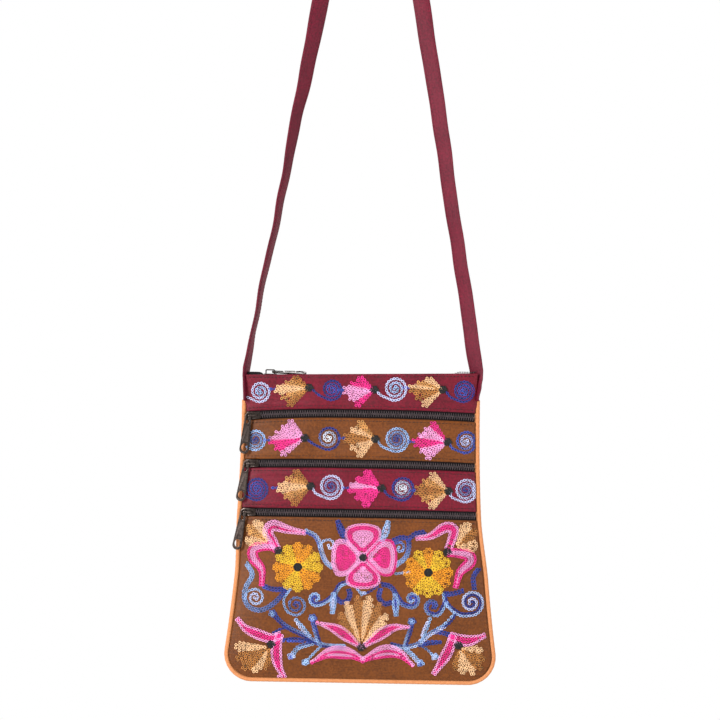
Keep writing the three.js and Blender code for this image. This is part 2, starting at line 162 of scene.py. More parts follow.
PULL_LOW, PULL_THICKNESS = 2.3 * MM, 1.2 * MM
RECESS_DEPTH, RECESS_RIM = 0.3 * MM, 0.8 * MM
RECESS_START, RECESS_FROM_HOLE = 8 * MM, 4.2 * MM
RIM_SLOPE = 0.34
FRONT_PULL_LEAN = math.radians(-10.5)
TOP_PULL_X = 1.4 * MM
TOP_PULL_RAISE = 0.2 * MM
TOP_PULL_DROOP = math.radians(1.3)
TOP_PULL_ROLL = math.radians(18)

# Embroidery chart: squares right of the middle and below the top edge, turned with the view
CHART_SQUARE = 0.8 * MM
CHART_TURN = math.radians(1)
ROW = 2.75
DOT_ROW = 1.9
DOT_RADIUS = 4.9
DOT_LIFT = 0.45 * MM
CURL_END = 0.8

Spiral = namedtuple("Spiral", "x y radius turns tail outer inner")
Fan = namedtuple("Fan", "dot edge petals")
Ribbon = namedtuple("Ribbon", "points half_width threads")
Tendril = namedtuple("Tendril", "points threads curl", defaults=(None,))
Bud = namedtuple("Bud", "x y radius outer inner")
Petal = namedtuple("Petal", "angle reach half_width threads")
Daisy = namedtuple("Daisy", "middle reach threads")
# A row's shade is painted shade, below one for rows that lie sunk beneath others
Row = namedtuple("Row", "points threads lift shade", defaults=(0.0, 1.0))

BAND_SPIRALS = {
    "top_band": (
        Spiral(-101.5, 17.5, 10.5, 2.5, (-116, 26.5), "lavender", "sky"),
        Spiral(-29.5, 15.5, 10.5, 2.9, (-50, 14.5), "indigo", "blue"),
        Spiral(33.5, 14.5, 12, 2.8, (15, 16.5), "lavender", "sky"),
        Spiral(102, 17, 11, 3.1, (84, 16.5), "indigo", "blue"),
    ),
    "second_band": (
        Spiral(-106, 65.5, 10.5, 2.8, (-116, 75), "sky", "indigo"),
        Spiral(-33, 63.5, 12, 2.6, (-55, 64.5), "indigo", "white"),
        Spiral(35, 65, 12.5, 3.4, (16, 66), "sky", "indigo"),
        Spiral(104, 67.5, 11.5, 2.7, (88, 68.5), "blue", "lavender"),
    ),
    "third_band": (
        Spiral(-104.5, 114.5, 11.5, 3.3, (-116, 122), "indigo", "blue"),
        Spiral(-30.5, 112, 12.5, 3, (-49, 112.5), "lavender", "indigo"),
        Spiral(40.5, 114, 12, 3.2, (22, 114.5), "indigo", "white"),
        Spiral(104, 116, 12, 3.1, (89, 117.5), "lavender", "indigo"),
    ),
}
BAND_FANS = {
    "top_band": (
        Fan((-52.5, 14), ((-62.5, 1.5), (-86.5, 15), (-69, 33.5)),
            "bronze gold cream cream gold bronze"),
        Fan((12.5, 16), ((1.5, 2), (-19, 16), (-1.5, 33.5)),
            "hot_pink hot_pink light_pink light_pink light_pink hot_pink"),
        Fan((81, 16), ((70.5, 3.2), (46.5, 13.5), (65.5, 34)),
            "cream gold cream bronze bronze cream"),
    ),
    "second_band": (
        Fan((-57, 64), ((-68.5, 45), (-92.5, 66), (-75.5, 82.5)),
            "light_pink light_pink light_pink light_pink hot_pink hot_pink light_pink"),
        Fan((13.5, 65), ((1.5, 45.5), (-18, 64), (0.5, 84)),
            "gold cream bronze bronze cream cream"),
        Fan((85.5, 68), ((73.5, 47), (51.5, 67.5), (68.5, 86)),
            "hot_pink light_pink light_pink hot_pink hot_pink light_pink light_pink"),
    ),
    "third_band": (
        Fan((-51, 112), ((-62.5, 94.5), (-84.5, 113.5), (-64.5, 132.5)),
            "bronze gold cream cream gold bronze"),
        Fan((19.5, 114), ((8.5, 95), (-14, 113.5), (6.5, 133.5)),
            "hot_pink hot_pink light_pink hot_pink hot_pink hot_pink"),
        Fan((86.5, 117), ((73.5, 97), (52.5, 116), (72.5, 135.5)),
            "cream gold bronze bronze gold cream"),
    ),
}

# The big flower, the two daisies and the black eyes on the main panel, with angles in degrees
FLOWER = (1.5, 183)
FLOWER_PETALS = (
    Petal(-90, 33.5, 17.5, "light_pink hot_pink hot_pink light_pink"),
    Petal(0, 33.5, 18, "hot_pink light_pink light_pink hot_pink"),
    Petal(90, 30.5, 16.6, "light_pink hot_pink hot_pink light_pink"),
    Petal(180, 31, 18, "light_pink light_pink hot_pink"),
)
DAISIES = (
    Daisy((-63.5, 192.5), 25,
          "amber amber yellow yellow amber amber yellow yellow amber amber yellow yellow"),
    Daisy((66.5, 198), 24.8,
          "amber yellow yellow amber amber yellow yellow yellow amber amber amber yellow"),
)
# Half of a petal's outline, as shares of its reach and its half width, and the heart inside its loops
BLUNT_PETAL = (
    (0.1, 0.16), (0.3, 0.57), (0.5, 0.92), (0.7, 1.04), (0.88, 0.94), (0.98, 0.52), (1.01, 0.0))
BLUNT_HEART = 0.57
HEART_ROW = 2.6
PETAL_ROW = 2.5
PANEL_DOTS = (
    FLOWER, *(daisy.middle for daisy in DAISIES), (-83.5, 176), (85.5, 177.5), (-0.5, 273), (-90.5, 270),
    (96.5, 271))
PANEL_FANS = (
    Fan((-92.5, 168), ((-98.5, 146.8), (-111.5, 149), (-114.5, 161), (-113, 172.5)),
        "cream gold cream"),
    Fan((94.5, 172.5), ((98.5, 149.5), (112.5, 151.5), (114.5, 166), (112.5, 179)),
        "cream bronze cream"),
    Fan((-0.5, 271), ((-24, 247), (-14, 229), (2.5, 222), (18, 230), (27, 248)),
        "bronze cream bronze cream bronze cream"),
    Fan((-92, 273), ((-123.5, 266), (-124.5, 278), (-120, 291), (-111, 297), (-97.5, 295), (-89.5, 289)),
        "cream bronze bronze cream bronze"),
    Fan((98.5, 274.5), ((117, 270.5), (121.5, 282), (119.5, 292.5), (111, 299), (96, 297), (90.5, 289)),
        "cream bronze bronze cream cream bronze"),
)
LEAF_BAND = "light_pink hot_pink hot_pink light_pink"
PALE_BAND = "light_pink light_pink hot_pink light_pink"
HOT_EDGED_BAND = "hot_pink light_pink light_pink hot_pink"
HORNS = (
    Ribbon(((-84.5, 174), (-88.5, 166), (-93.5, 157.5), (-88, 151), (-73, 155), (-57, 158)),
           5.7, PALE_BAND),
    Ribbon(((-85.5, 174), (-93, 171.5), (-106.5, 174), (-108, 183), (-99.5, 195), (-99.5, 210)),
           5.6, HOT_EDGED_BAND),
    Ribbon(((86.5, 174), (89.5, 166.5), (92, 155.5), (83.5, 153), (69, 161.5), (55.5, 163.5)),
           5.4, LEAF_BAND),
    Ribbon(((87, 178), (95, 178.5), (107, 181), (108.5, 188), (98.5, 197.5), (94, 212)),
           5.8, HOT_EDGED_BAND),
    Ribbon(((-81, 260.5), (-90, 263.5), (-101, 260.5), (-115.5, 254), (-123.5, 245)), 5.6, LEAF_BAND),
    Ribbon(((-82, 260.5), (-85, 276.5), (-83, 291), (-77.5, 302.5)), 5.8, LEAF_BAND),
    Ribbon(((89, 261.5), (103, 266), (113, 265), (122.5, 261.5)), 6, LEAF_BAND),
    Ribbon(((91, 262), (87.5, 274), (81, 286), (72.5, 299)), 5.8, LEAF_BAND),
)
LILY_LEAVES = (
    Ribbon(((-1, 272), (-14, 262), (-26, 254), (-44, 248)), 6, LEAF_BAND),
    Ribbon(((1.5, 272), (12.5, 264), (23, 257), (34, 252.5), (47, 252.5)), 6, LEAF_BAND),
    Ribbon(((2, 286), (-12, 279), (-31, 278), (-49.5, 287.5)), 7,
           "hot_pink light_pink hot_pink light_pink light_pink"),
    Ribbon(((0.5, 286), (22, 277), (37.5, 279), (51, 290.5)), 7,
           "light_pink light_pink hot_pink light_pink hot_pink"),
)
BLUE_LEAVES = (
    Ribbon(((-23.5, 147), (-20, 156), (-16, 166)), 4, "indigo blue indigo"),
    Ribbon(((26.5, 147.5), (24.5, 156), (20.5, 166)), 4, "sky lavender sky"),
    Ribbon(((-65.5, 245), (-60, 252), (-52, 261)), 2.8, "sky lavender"),
    Ribbon(((-78, 265.5), (-66, 265), (-53, 266.5)), 2.8, "indigo blue"),
    Ribbon(((68, 244), (64, 254), (59, 266)), 2.8, "sky lavender"),
    Ribbon(((78.5, 267.5), (69, 268), (58, 270.5)), 2.8, "indigo blue"),
    Ribbon(((-28, 219), (-28.5, 229), (-29, 237.5)), 3.8, "sky lavender sky"),
    Ribbon(((33.5, 220), (34, 230), (34.5, 240)), 3.8, "sky blue sky"),
    Ribbon(((93, 239.5), (87, 247), (81, 252)), 2.8, "indigo sky"),
)
TENDRILS = (
    Tendril(((-115, 189), (-109, 200), (-115, 212), (-117, 222), (-112.5, 232), (-101, 235.5), (-88, 229),
             (-76, 216.5)), "sky>indigo sky>indigo"),
    Tendril(((-116, 224), (-114, 217.5), (-107, 214.5)), "sky>lavender", (-106, 223, 1.7)),
    Tendril(((-71, 214.5), (-77.5, 225), (-74.5, 236), (-67, 240.5)), "sky>indigo", (-65.5, 230.5, -2)),
    Tendril(((-98.5, 211), (-88, 214.5), (-75.5, 214.5)), "indigo>indigo blue>indigo"),
    Tendril(((117, 194.5), (111.5, 203), (112.5, 214)), "indigo>blue blue>indigo"),
    Tendril(((82.5, 218), (85, 229), (98, 239.5), (110, 240)), "indigo>indigo sky>lavender",
            (109.5, 228, -1.75)),
    Tendril(((82, 219.5), (91, 219), (100.5, 216.5)), "indigo>indigo blue>indigo"),
    Tendril(((84, 227.5), (77, 239), (70, 239.5)), "sky>indigo indigo>blue", (71, 231.5, 0.95)),
    Tendril(((84, 226), (92, 239)), "indigo>sky"),
    Tendril(((-55.5, 156.5), (-46.5, 161), (-42, 168.5), (-39.5, 178), (-35.5, 187), (-30, 192)),
            "sky>lavender blue>sky"),
    Tendril(((-42, 172), (-38, 166.5), (-32.5, 165)), "sky>lavender", (-32, 171, 0.75)),
    Tendril(((63, 157.5), (54.5, 159), (47, 163.5), (39.5, 163), (32.5, 165.5)),
            "indigo>blue indigo>indigo"),
    Tendril(((47, 165), (47, 174.5), (43.5, 183), (35, 190)), "indigo>sky blue>sky"),
    Tendril(((33, 169.5), (38, 167.5)), "blue>sky", (37.5, 173.5, 0.9)),
    Tendril(((34.5, 199), (47, 197.5)), "sky>lavender"),
    Tendril(((-13.5, 207.5), (-21.5, 210.5), (-28, 220.5), (-38, 228), (-45.5, 230)),
            "sky>sky indigo>blue", (-45.5, 223.5, 0.9)),
    Tendril(((-26, 222), (-21, 227), (-15, 226.5), (-11.5, 220.5), (-12.5, 215.5)),
            "indigo>indigo blue>indigo"),
    Tendril(((20, 209.5), (29, 212), (35, 220.5), (41.5, 229.5), (50, 232)), "indigo>blue indigo>sky",
            (50, 224.5, -1.1)),
    Tendril(((30.5, 227.5), (23, 229), (17.5, 223), (18.5, 215)), "indigo>indigo indigo>blue"),
    Tendril(((3, 219), (9.5, 216), (15.5, 211.5)), "indigo>indigo"),
    Tendril(((-4, 214.5), (0, 219.5)), "sky>sky"),
    Tendril(((-16, 272), (-39.5, 270), (-57.5, 260.5), (-74.5, 252), (-87, 241)),
            "indigo>indigo sky>indigo"),
    Tendril(((-74.5, 253), (-81, 254.5), (-87.5, 258)), "indigo>indigo"),
    Tendril(((-42, 269), (-46, 256), (-48.5, 246)), "sky>blue indigo>blue"),
    Tendril(((-49, 268.5), (-63, 273), (-69.5, 281)), "sky>sky indigo>sky"),
    Tendril(((-41, 272), (-48, 279), (-55.5, 287)), "sky>sky"),
    Tendril(((30, 270), (43.5, 272.5), (58, 268.5), (66.5, 260.5), (82, 251.5)),
            "indigo>sky sky>lavender"),
    Tendril(((43.5, 271), (48, 257), (50, 249)), "sky>indigo indigo>indigo"),
    Tendril(((73, 257), (81, 258), (89, 261)), "indigo>indigo blue>indigo"),
    Tendril(((58, 270), (66, 275.5), (72, 281.5)), "indigo>sky"),
    Tendril(((43.5, 274), (52, 282), (57.5, 288)), "sky>sky sky>lavender"),
)
BUDS = (
    Bud(-89, 239, 4.9, "indigo", "sky"),
    Bud(-49, 243.5, 4.9, "blue", "sky"),
    Bud(-70.5, 282, 4.6, "lavender", "blue"),
    Bud(-56.5, 288, 4.4, "sky", "sky"),
    Bud(50, 247, 4.9, "indigo", "sky"),
    Bud(73, 282.5, 4.6, "sky", "lavender"),
    Bud(58.5, 289, 4.6, "sky", "blue"),
    Bud(2, 218.5, 3, "sky", "lavender"),
)


# Property helpers

# The usual curve from screen levels to light
SCREEN_LEVELS = 255
CURVE_START, CURVE_SLOPE, CURVE_OFFSET, CURVE_POWER = 0.04045, 12.92, 0.055, 2.4
SIZE_DIGITS = 5


def light_level(value):
    level = value / SCREEN_LEVELS
    if level <= CURVE_START:
        return level / CURVE_SLOPE
    return ((level + CURVE_OFFSET) / (1 + CURVE_OFFSET)) ** CURVE_POWER


def length(name, description, default):
    """A length property in metres."""
    return bpy.props.FloatProperty(
        name=name, description=description, default=default, unit="LENGTH", precision=SIZE_DIGITS)


def colour(name, description, red, green, blue):
    """A colour property, from a screen colour given as 0 to 255."""
    return bpy.props.FloatVectorProperty(
        name=name, description=description, default=[light_level(value) for value in (red, green, blue)],
        size=3, subtype="COLOR", min=0, max=1)


class BagSizes(bpy.types.PropertyGroup):
    """Sizes of the cloth's relief and of the stitching."""

    band_puff: length("Band puff", "How far a cloth piece swells between its seams", 0.7 * MM)
    wrinkle_height: length("Wrinkle height", "Height of the soft waves in the cloth", 1.1 * MM)
    hem_width: length("Hem width", "Width of the cloth folded under beside a zip", 6 * MM)
    hem_rise: length("Hem rise", "How far a folded hem stands up", 0.3 * MM)
    hem_stitch_inset: length("Hem stitch inset", "Distance of the topstitches from the hem's edge", 2.4 * MM)
    topstitch_length: length("Topstitch length", "Spacing of the topstitches", 2.9 * MM)
    topstitch_thread: length("Topstitch thread", "Thickness of the topstitch thread", 0.46 * MM)
    chain_stitch_length: length("Chain stitch length", "Spacing of the chain stitches", 2.5 * MM)
    chain_stitch_width: length("Chain stitch width", "Width of one chain stitch", 2.2 * MM)
    chain_thread: length("Embroidery thread", "Thickness of the embroidery thread", 0.58 * MM)
    tooth_pitch: length("Tooth pitch", "Spacing of the zip's teeth", 1.85 * MM)
    weave_pitch: length("Weave pitch", "Spacing of the threads in the satin", 0.4 * MM)


class BagColours(bpy.types.PropertyGroup):
    """Colours of the cloth, the zips and the metal."""

    maroon: colour("Maroon satin", "Satin of the maroon bands and the back", 118, 11, 37)
    maroon_dark: colour("Maroon shade", "Darker slubs of the maroon satin", 61, 6, 18)
    strap: colour("Strap satin", "Satin of the strap", 114, 11, 40)
    strap_dark: colour("Strap shade", "Darker slubs of the strap", 54, 5, 20)
    brown: colour("Brown satin", "Satin of the brown band and main panel", 118, 63, 18)
    brown_dark: colour("Brown shade", "Darker slubs of the brown satin", 66, 32, 8)
    orange: colour("Orange piping", "Bias cloth of the piping", 200, 135, 89)
    orange_dark: colour("Orange shade", "Darker threads of the piping", 175, 108, 63)
    tape: colour("Zip tape", "Woven tape of the zips", 18, 13, 15)
    teeth: colour("Zip teeth", "Nylon coil of the zips", 84, 69, 73)
    gunmetal: colour("Gunmetal", "Plating of the sliders and pulls", 78, 69, 65)
    gunmetal_dark: colour("Gunmetal shade", "Darker film on the plating", 50, 42, 39)
    floor: colour("Floor", "The plain pale floor", 246, 246, 244)


class ThreadColours(bpy.types.PropertyGroup):
    """Colours of the embroidery threads."""

    hot_pink: colour("Hot pink", "Dark rows of the pink flowers", 255, 44, 150)
    light_pink: colour("Light pink", "Pale rows of the pink flowers", 255, 172, 224)
    yellow: colour("Yellow", "Bright petals of the daisies", 255, 206, 48)
    amber: colour("Amber", "Deep petals of the daisies", 255, 168, 30)
    cream: colour("Cream", "Pale petals of the fans", 250, 202, 152)
    gold: colour("Gold", "Middle petals of the fans", 216, 156, 88)
    bronze: colour("Bronze", "Dark petals of the fans", 182, 119, 56)
    indigo: colour("Indigo", "Dark rows of the tendrils and spirals", 36, 54, 142)
    blue: colour("Blue", "Middle rows of the tendrils and spirals", 62, 84, 182)
    sky: colour("Sky blue", "Pale rows of the tendrils", 154, 184, 228)
    lavender: colour("Lavender", "Palest rows of the spirals", 208, 212, 248)
    white: colour("White", "Hearts of the pale spirals", 232, 236, 246)
    black: colour("Black", "Eyes of the flowers", 26, 24, 24)


def sizes():
    return bpy.context.scene.bag_sizes


def colours():
    return bpy.context.scene.bag_colours


# Surface of the pouch

TINY = 1e-9


def unit(vectors):
    """Directions of vectors, each with a length of one."""
    return vectors / np.maximum(np.linalg.norm(vectors, axis=-1, keepdims=True), TINY)


def smoothstep(low, high, value):
    part = np.clip((value - low) / (high - low), 0, 1)
    return part * part * (3 - 2 * part)


def half_width(depth, inset):
    """Half the pouch's width at a depth, a given distance inside its outer edge."""
    along = np.maximum(0, (depth - PIPING_START) / (ARC_START - PIPING_START))
    straight = TOP_HALF_WIDTH + SIDE_FLARE * along ** FLARE_POWER - inset
    drop = depth - CORNER_DEPTH
    rounded = CORNER_X + np.sqrt(np.maximum(0, (CORNER_RADIUS - inset) ** 2 - drop ** 2))
    return np.where(depth > ARC_START, rounded, straight)


def face_reach(depth):
    """Half the width of the flat face at one depth, as a plain number."""
    return float(half_width(np.array(depth), EDGE_INSET))


def lean(depth):
    """How far the soft lower part of the pouch hangs to the right."""
    return LEAN * smoothstep(LEAN_START, LEAN_END, depth)


def across_at(x, depth):
    """Place across the face, from -1 to 1, of a place in metres."""
    return (x - lean(depth)) / half_width(depth, EDGE_INSET)


def x_at(across, depth):
    """Place in metres of a place across the face."""
    return across * half_width(depth, EDGE_INSET) + lean(depth)


def hollow_half_depth(across, depth):
    """Half the hollow's depth, from the middle plane to the inside of the cloth."""
    lengthwise = np.abs(2 * depth / FACE_FOOT - 1) ** LENGTHWISE_POWER
    crosswise = np.abs(across) ** CROWN_POWER
    mouth = np.maximum(0, 1 - depth / PIPING_START) ** MOUTH_POWER
    seam = SEAM_HALF_DEPTH + (MOUTH_HALF_DEPTH - SEAM_HALF_DEPTH) * mouth
    return seam + BULGE * (1 - lengthwise) * (1 - crosswise)


def face_point(across, depth, level, side=-1):
    """Points of the pouch: across runs from -1 to 1, level is outwards from the cloth's face."""
    across, depth, level = np.broadcast_arrays(across, depth, level)
    away = hollow_half_depth(np.clip(across, -1, 1), depth) + CLOTH + level
    return np.stack([x_at(across, depth), side * away, POUCH_TOP - depth], axis=-1)


def zip_depth(zip_line, across):
    droop = np.where(across < 0, zip_line.left_droop, zip_line.right_droop)
    return zip_line.depth + droop * np.abs(across) ** DROOP_POWER


# Cloth pieces: their edges and their soft relief

Panel = namedtuple("Panel", "name slot columns rows lower_hem side")
PANELS = (
    Panel("top_band", "maroon_cloth", 150, 34, True, -1),
    Panel("second_band", "brown_cloth", 150, 36, True, -1),
    Panel("third_band", "maroon_cloth", 150, 36, True, -1),
    Panel("main_panel", "brown_cloth", 150, 104, False, -1),
    Panel("back_panel", "maroon_cloth", 120, 130, False, 1),
)
PANEL = {panel.name: panel for panel in PANELS}
FRONT_PANELS = tuple(panel.name for panel in PANELS if panel.side < 0)
HEM_ROUND = CLOTH / 2
SIDE_POWER = 10
PUFF_POWER = 0.6
GROOVE_DEPTH = 0.22 * MM
GROOVE_WIDTH = 0.6 * MM
SEAM_PUCKER = 0.16 * MM
SEAM_PUCKER_LENGTH = 7 * MM
SEAM_PUCKER_REACH = 6 * MM
PUCKER_FADE_POWER = 0.3
HEM_FALL_START, HEM_FALL_END = 0.85, 1.1
HEM_CLOSING = 0.48
MOUTH_SIDE_REACH = 1.25 * MM
MOUTH_SIDE_END = 1.1 * PIPING_START
MOUTH_SIDE_POWER = 8
NORMAL_STEP = 0.4 * MM
WAVE_SEED = 7
WAVE_COUNT = 12
WAVE_LENGTHS = (14 * MM, 70 * MM)

Wave = namedtuple("Wave", "length heading phase")


def draw_waves():
    """A few plane waves that add up to soft, uneven wrinkles."""
    dice = random.Random(WAVE_SEED)
    waves = []
    for _ in range(WAVE_COUNT):
        span = dice.uniform(*WAVE_LENGTHS)
        heading = dice.uniform(0, math.pi)
        waves.append(Wave(span, heading, dice.uniform(0, math.tau)))
    return waves


WAVES = draw_waves()


def wrinkles(x, depth):
    """Soft waves from 0 to 1 over the face."""
    total = 0
    weight = 0
    for wave in WAVES:
        along = x * math.cos(wave.heading) + depth * math.sin(wave.heading)
        total = total + wave.length * np.sin(math.tau * along / wave.length + wave.phase)
        weight += wave.length
    return 0.5 + total / weight


def panel_edges(name, across):
    """Upper and lower edge of a cloth piece, as depths."""
    upper, lower = -TOP_TILT * across, np.full_like(across, FACE_FOOT)
    if name in FRONT_PANELS:
        order = FRONT_PANELS.index(name)
        if order > 0:
            upper = zip_depth(ZIPS[order - 1], across) + SLOT_HALF_HEIGHT
        if order < len(ZIPS):
            lower = zip_depth(ZIPS[order], across) - SLOT_HALF_HEIGHT
    return upper, lower


def hem_distance(name, across, depth):
    """Distance from the nearest folded hem of a cloth piece."""
    upper, lower = panel_edges(name, across)
    distance = depth - upper
    if PANEL[name].lower_hem:
        distance = np.minimum(distance, lower - depth)
    return np.maximum(distance, 0)


def relief(name, across, depth):
    """How far the cloth stands out of the plain face: puff, wrinkles, hems and seam puckers."""
    size = sizes()
    upper, lower = panel_edges(name, across)
    run = np.clip((depth - upper) / (lower - upper), 0, 1)
    fade = 1 - np.clip(np.abs(across), 0, 1) ** SIDE_POWER
    swell = (4 * run * (1 - run)) ** PUFF_POWER * fade
    reach = half_width(depth, EDGE_INSET)
    x = across * reach
    from_hem = hem_distance(name, across, depth)
    hem = size.hem_rise * (1 - smoothstep(HEM_FALL_START, HEM_FALL_END, from_hem / size.hem_width))
    groove = GROOVE_DEPTH * np.exp(-((from_hem - size.hem_stitch_inset) / GROOVE_WIDTH) ** 2)
    from_side = np.maximum(reach - np.abs(x), 0)
    pucker = (1 + np.sin(math.tau * depth / SEAM_PUCKER_LENGTH)) / 2
    pucker = SEAM_PUCKER * pucker * np.exp(-from_side / SEAM_PUCKER_REACH)
    waves = size.wrinkle_height * wrinkles(x, depth) * np.minimum(1, 2 * swell)
    return size.band_puff * swell + waves + (hem - groove) * fade + pucker * swell ** PUCKER_FADE_POWER


def cloth_surface(name, x, depth, lift):
    """Points on the visible cloth, a little above it by lift, for face positions in metres."""
    across = across_at(x, depth)
    level = relief(name, across, depth) + lift
    return face_point(across, depth, level, PANEL[name].side)


def cloth_normal(name, x, depth):
    """Outward directions of the visible cloth."""
    step = NORMAL_STEP
    right = cloth_surface(name, x + step, depth, 0) - cloth_surface(name, x - step, depth, 0)
    down = cloth_surface(name, x, depth + step, 0) - cloth_surface(name, x, depth - step, 0)
    return unit(np.cross(down, right) * -PANEL[name].side)


# Mesh helpers

def signed_volume(points, faces):
    total = 0.0
    for face in faces:
        first = points[face[0]]
        for second, third in zip(face[1:-1], face[2:]):
            total += np.dot(first, np.cross(points[second], points[third]))
    return total


def new_object(name, mesh):
    piece = bpy.data.objects.new(name, mesh)
    bpy.context.scene.collection.objects.link(piece)
    return piece


def solid_mesh(name, points, faces, uv=None):
    """Smooth mesh of a closed solid, with its faces turned outwards."""
    points = np.asarray(points, float)
    if signed_volume(points, faces) < 0:
        faces = [face[::-1] for face in faces]
    mesh = bpy.data.meshes.new(name)
    mesh.from_pydata(points.tolist(), [], faces)
    mesh.polygons.foreach_set("use_smooth", [True] * len(mesh.polygons))
    if uv is not None:
        layer = mesh.uv_layers.new(name="run")
        corners = np.zeros(len(mesh.loops), np.int32)
        mesh.loops.foreach_get("vertex_index", corners)
        layer.data.foreach_set("uv", np.asarray(uv, np.float32)[corners].ravel())
    mesh.update()
    return mesh


def solid_piece(name, points, faces, uv=None):
    return new_object(name, solid_mesh(name, points, faces, uv))


def shell(outer, inner):
    """Points and faces of a closed sheet from two grids of points, joined round their rims."""
    rows, columns = outer.shape[:2]
    count = rows * columns
    grid = np.arange(count).reshape(rows, columns)
    front = np.stack([grid[:-1, :-1], grid[1:, :-1], grid[1:, 1:], grid[:-1, 1:]], axis=-1)
    front = front.reshape(-1, 4)
    back = front[:, ::-1] + count
    rim = np.concatenate([grid[0, :-1], grid[:-1, -1], grid[-1, :0:-1], grid[:0:-1, 0]])
    ahead = np.roll(rim, -1)
    edge = np.stack([rim, ahead, ahead + count, rim + count], axis=-1)
    points = np.concatenate([outer.reshape(-1, 3), inner.reshape(-1, 3)])
    return points, np.concatenate([front, back, edge]).tolist()


def tube(rings):
    """Points and faces through rings of points, with flat ends."""
    count, sides = rings.shape[:2]
    grid = np.arange(count * sides).reshape(count, sides)
    here, ahead = grid[:-1], grid[1:]
    faces = np.stack([here, np.roll(here, -1, axis=1), np.roll(ahead, -1, axis=1), ahead], axis=-1)
    ends = [grid[0, ::-1].tolist(), grid[-1].tolist()]
    return rings.reshape(-1, 3), faces.reshape(-1, 4).tolist() + ends


def finish_piece(piece, body, slot, material, *nodes):
    """Gives a piece its finish and its body, and hides the frame's nodes that it stands for. The slot is not
    used.
    """
    if not piece.data.materials:
        piece.data.materials.append(material)
    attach(piece, body)
    if nodes:
        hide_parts(*nodes)
    return piece


# Shader helpers

def add_node(tree, kind, inputs=None, **settings):
    """A node with its settings, its input values and its links from other nodes' sockets."""
    node = tree.nodes.new(kind)
    for key, value in settings.items():
        setattr(node, key, value)
    for key, value in (inputs or {}).items():
        if isinstance(value, bpy.types.NodeSocket):
            tree.links.new(value, node.inputs[key])
        else:
            node.inputs[key].default_value = value
    return node


def math_node(tree, operation, first, second=0.0):
    return add_node(tree, "ShaderNodeMath", {0: first, 1: second}, operation=operation).outputs[0]


def map_range(tree, value, low, high, new_low, new_high):
    inputs = {"Value": value, "From Min": low, "From Max": high, "To Min": new_low, "To Max": new_high}
    return add_node(tree, "ShaderNodeMapRange", inputs).outputs["Result"]


def divide(tree, place, size):
    """A place measured in steps of a size."""
    return add_node(tree, "ShaderNodeVectorMath", {0: place, 1: size}, operation="DIVIDE").outputs[0]


def noise(tree, place, scale, detail):
    inputs = {"Vector": place, "Scale": scale, "Detail": detail}
    return add_node(tree, "ShaderNodeTexNoise", inputs).outputs[0]


CLOUD_SPAN = (0.3, 0.7)


def cloudy(tree, place, scale, detail, span=CLOUD_SPAN):
    """Noise stretched over the whole of 0 to 1."""
    return map_range(tree, noise(tree, place, scale, detail), *span, 0.0, 1.0)


def weighted(tree, parts):
    """The sum of values, each times its share."""
    products = [math_node(tree, "MULTIPLY", value, share) for value, share in parts]
    total = products[0]
    for product in products[1:]:
        total = math_node(tree, "ADD", total, product)
    return total


# Places of the colour sockets among all those of a mix node
MIX_FIRST, MIX_SECOND, MIX_RESULT = 6, 7, 2


def mix_colour(tree, factor, first, second):
    inputs = {"Factor": factor, MIX_FIRST: first, MIX_SECOND: second}
    return add_node(tree, "ShaderNodeMix", inputs, data_type="RGBA").outputs[MIX_RESULT]


def new_group(name, inputs, outputs):
    """A shader node group with named sockets, and its input and output nodes."""
    tree = bpy.data.node_groups.new(name, "ShaderNodeTree")
    for label, kind in inputs:
        tree.interface.new_socket(label, in_out="INPUT", socket_type=kind)
    for label, kind in outputs:
        tree.interface.new_socket(label, in_out="OUTPUT", socket_type=kind)
    return tree, tree.nodes.new("NodeGroupInput").outputs, tree.nodes.new("NodeGroupOutput")


FLOAT, VECTOR, COLOUR = "NodeSocketFloat", "NodeSocketVector", "NodeSocketColor"
FLECK_SIZE = 1.7 * MM
SLUB_DETAIL, CLOUD_DETAIL, FLECK_DETAIL = 3.0, 2.0, 1.0
SLUB_SHARE, CLOUD_SHARE, FLECK_SHARE, WEAVE_SHARE = 0.24, 0.26, 0.42, 0.08
SLUB_HEIGHT, WEAVE_HEIGHT = 0.5, 0.5


def woven_group():
    """Woven cloth: long slubs, cloudy shade, small flecks and a fine over-and-under weave."""
    name = "Woven cloth"
    if name in bpy.data.node_groups:
        return bpy.data.node_groups[name]
    tree, given, result = new_group(
        name,
        [("Place", VECTOR), ("Light", COLOUR), ("Dark", COLOUR), ("Slub size", VECTOR),
         ("Weave pitch", FLOAT), ("Cloud size", FLOAT)],
        [("Colour", COLOUR), ("Slub", FLOAT), ("Height", FLOAT)],
    )
    slub = cloudy(tree, divide(tree, given["Place"], given["Slub size"]), 1.0, SLUB_DETAIL)
    cloud = cloudy(tree, divide(tree, given["Place"], given["Cloud size"]), 1.0, CLOUD_DETAIL)
    threads = divide(tree, given["Place"], given["Weave pitch"])
    parts = add_node(tree, "ShaderNodeSeparateXYZ", {0: threads}).outputs
    warp = math_node(tree, "SINE", math_node(tree, "MULTIPLY", parts["X"], math.tau))
    weft = math_node(tree, "SINE", math_node(tree, "MULTIPLY", parts["Z"], math.tau))
    weave = map_range(tree, math_node(tree, "MULTIPLY", warp, weft), -1.0, 1.0, 0.0, 1.0)
    fleck = cloudy(tree, given["Place"], 1 / FLECK_SIZE, FLECK_DETAIL)
    shade = weighted(tree, [(slub, SLUB_SHARE), (cloud, CLOUD_SHARE), (fleck, FLECK_SHARE),
                            (weave, WEAVE_SHARE)])
    tree.links.new(mix_colour(tree, shade, given["Dark"], given["Light"]), result.inputs["Colour"])
    tree.links.new(slub, result.inputs["Slub"])
    height = weighted(tree, [(slub, SLUB_HEIGHT), (weave, WEAVE_HEIGHT)])
    tree.links.new(height, result.inputs["Height"])
    return tree


def new_material(name):
    material = bpy.data.materials.new(name)
    material.use_nodes = True
    return material, material.node_tree, material.node_tree.nodes["Principled BSDF"]


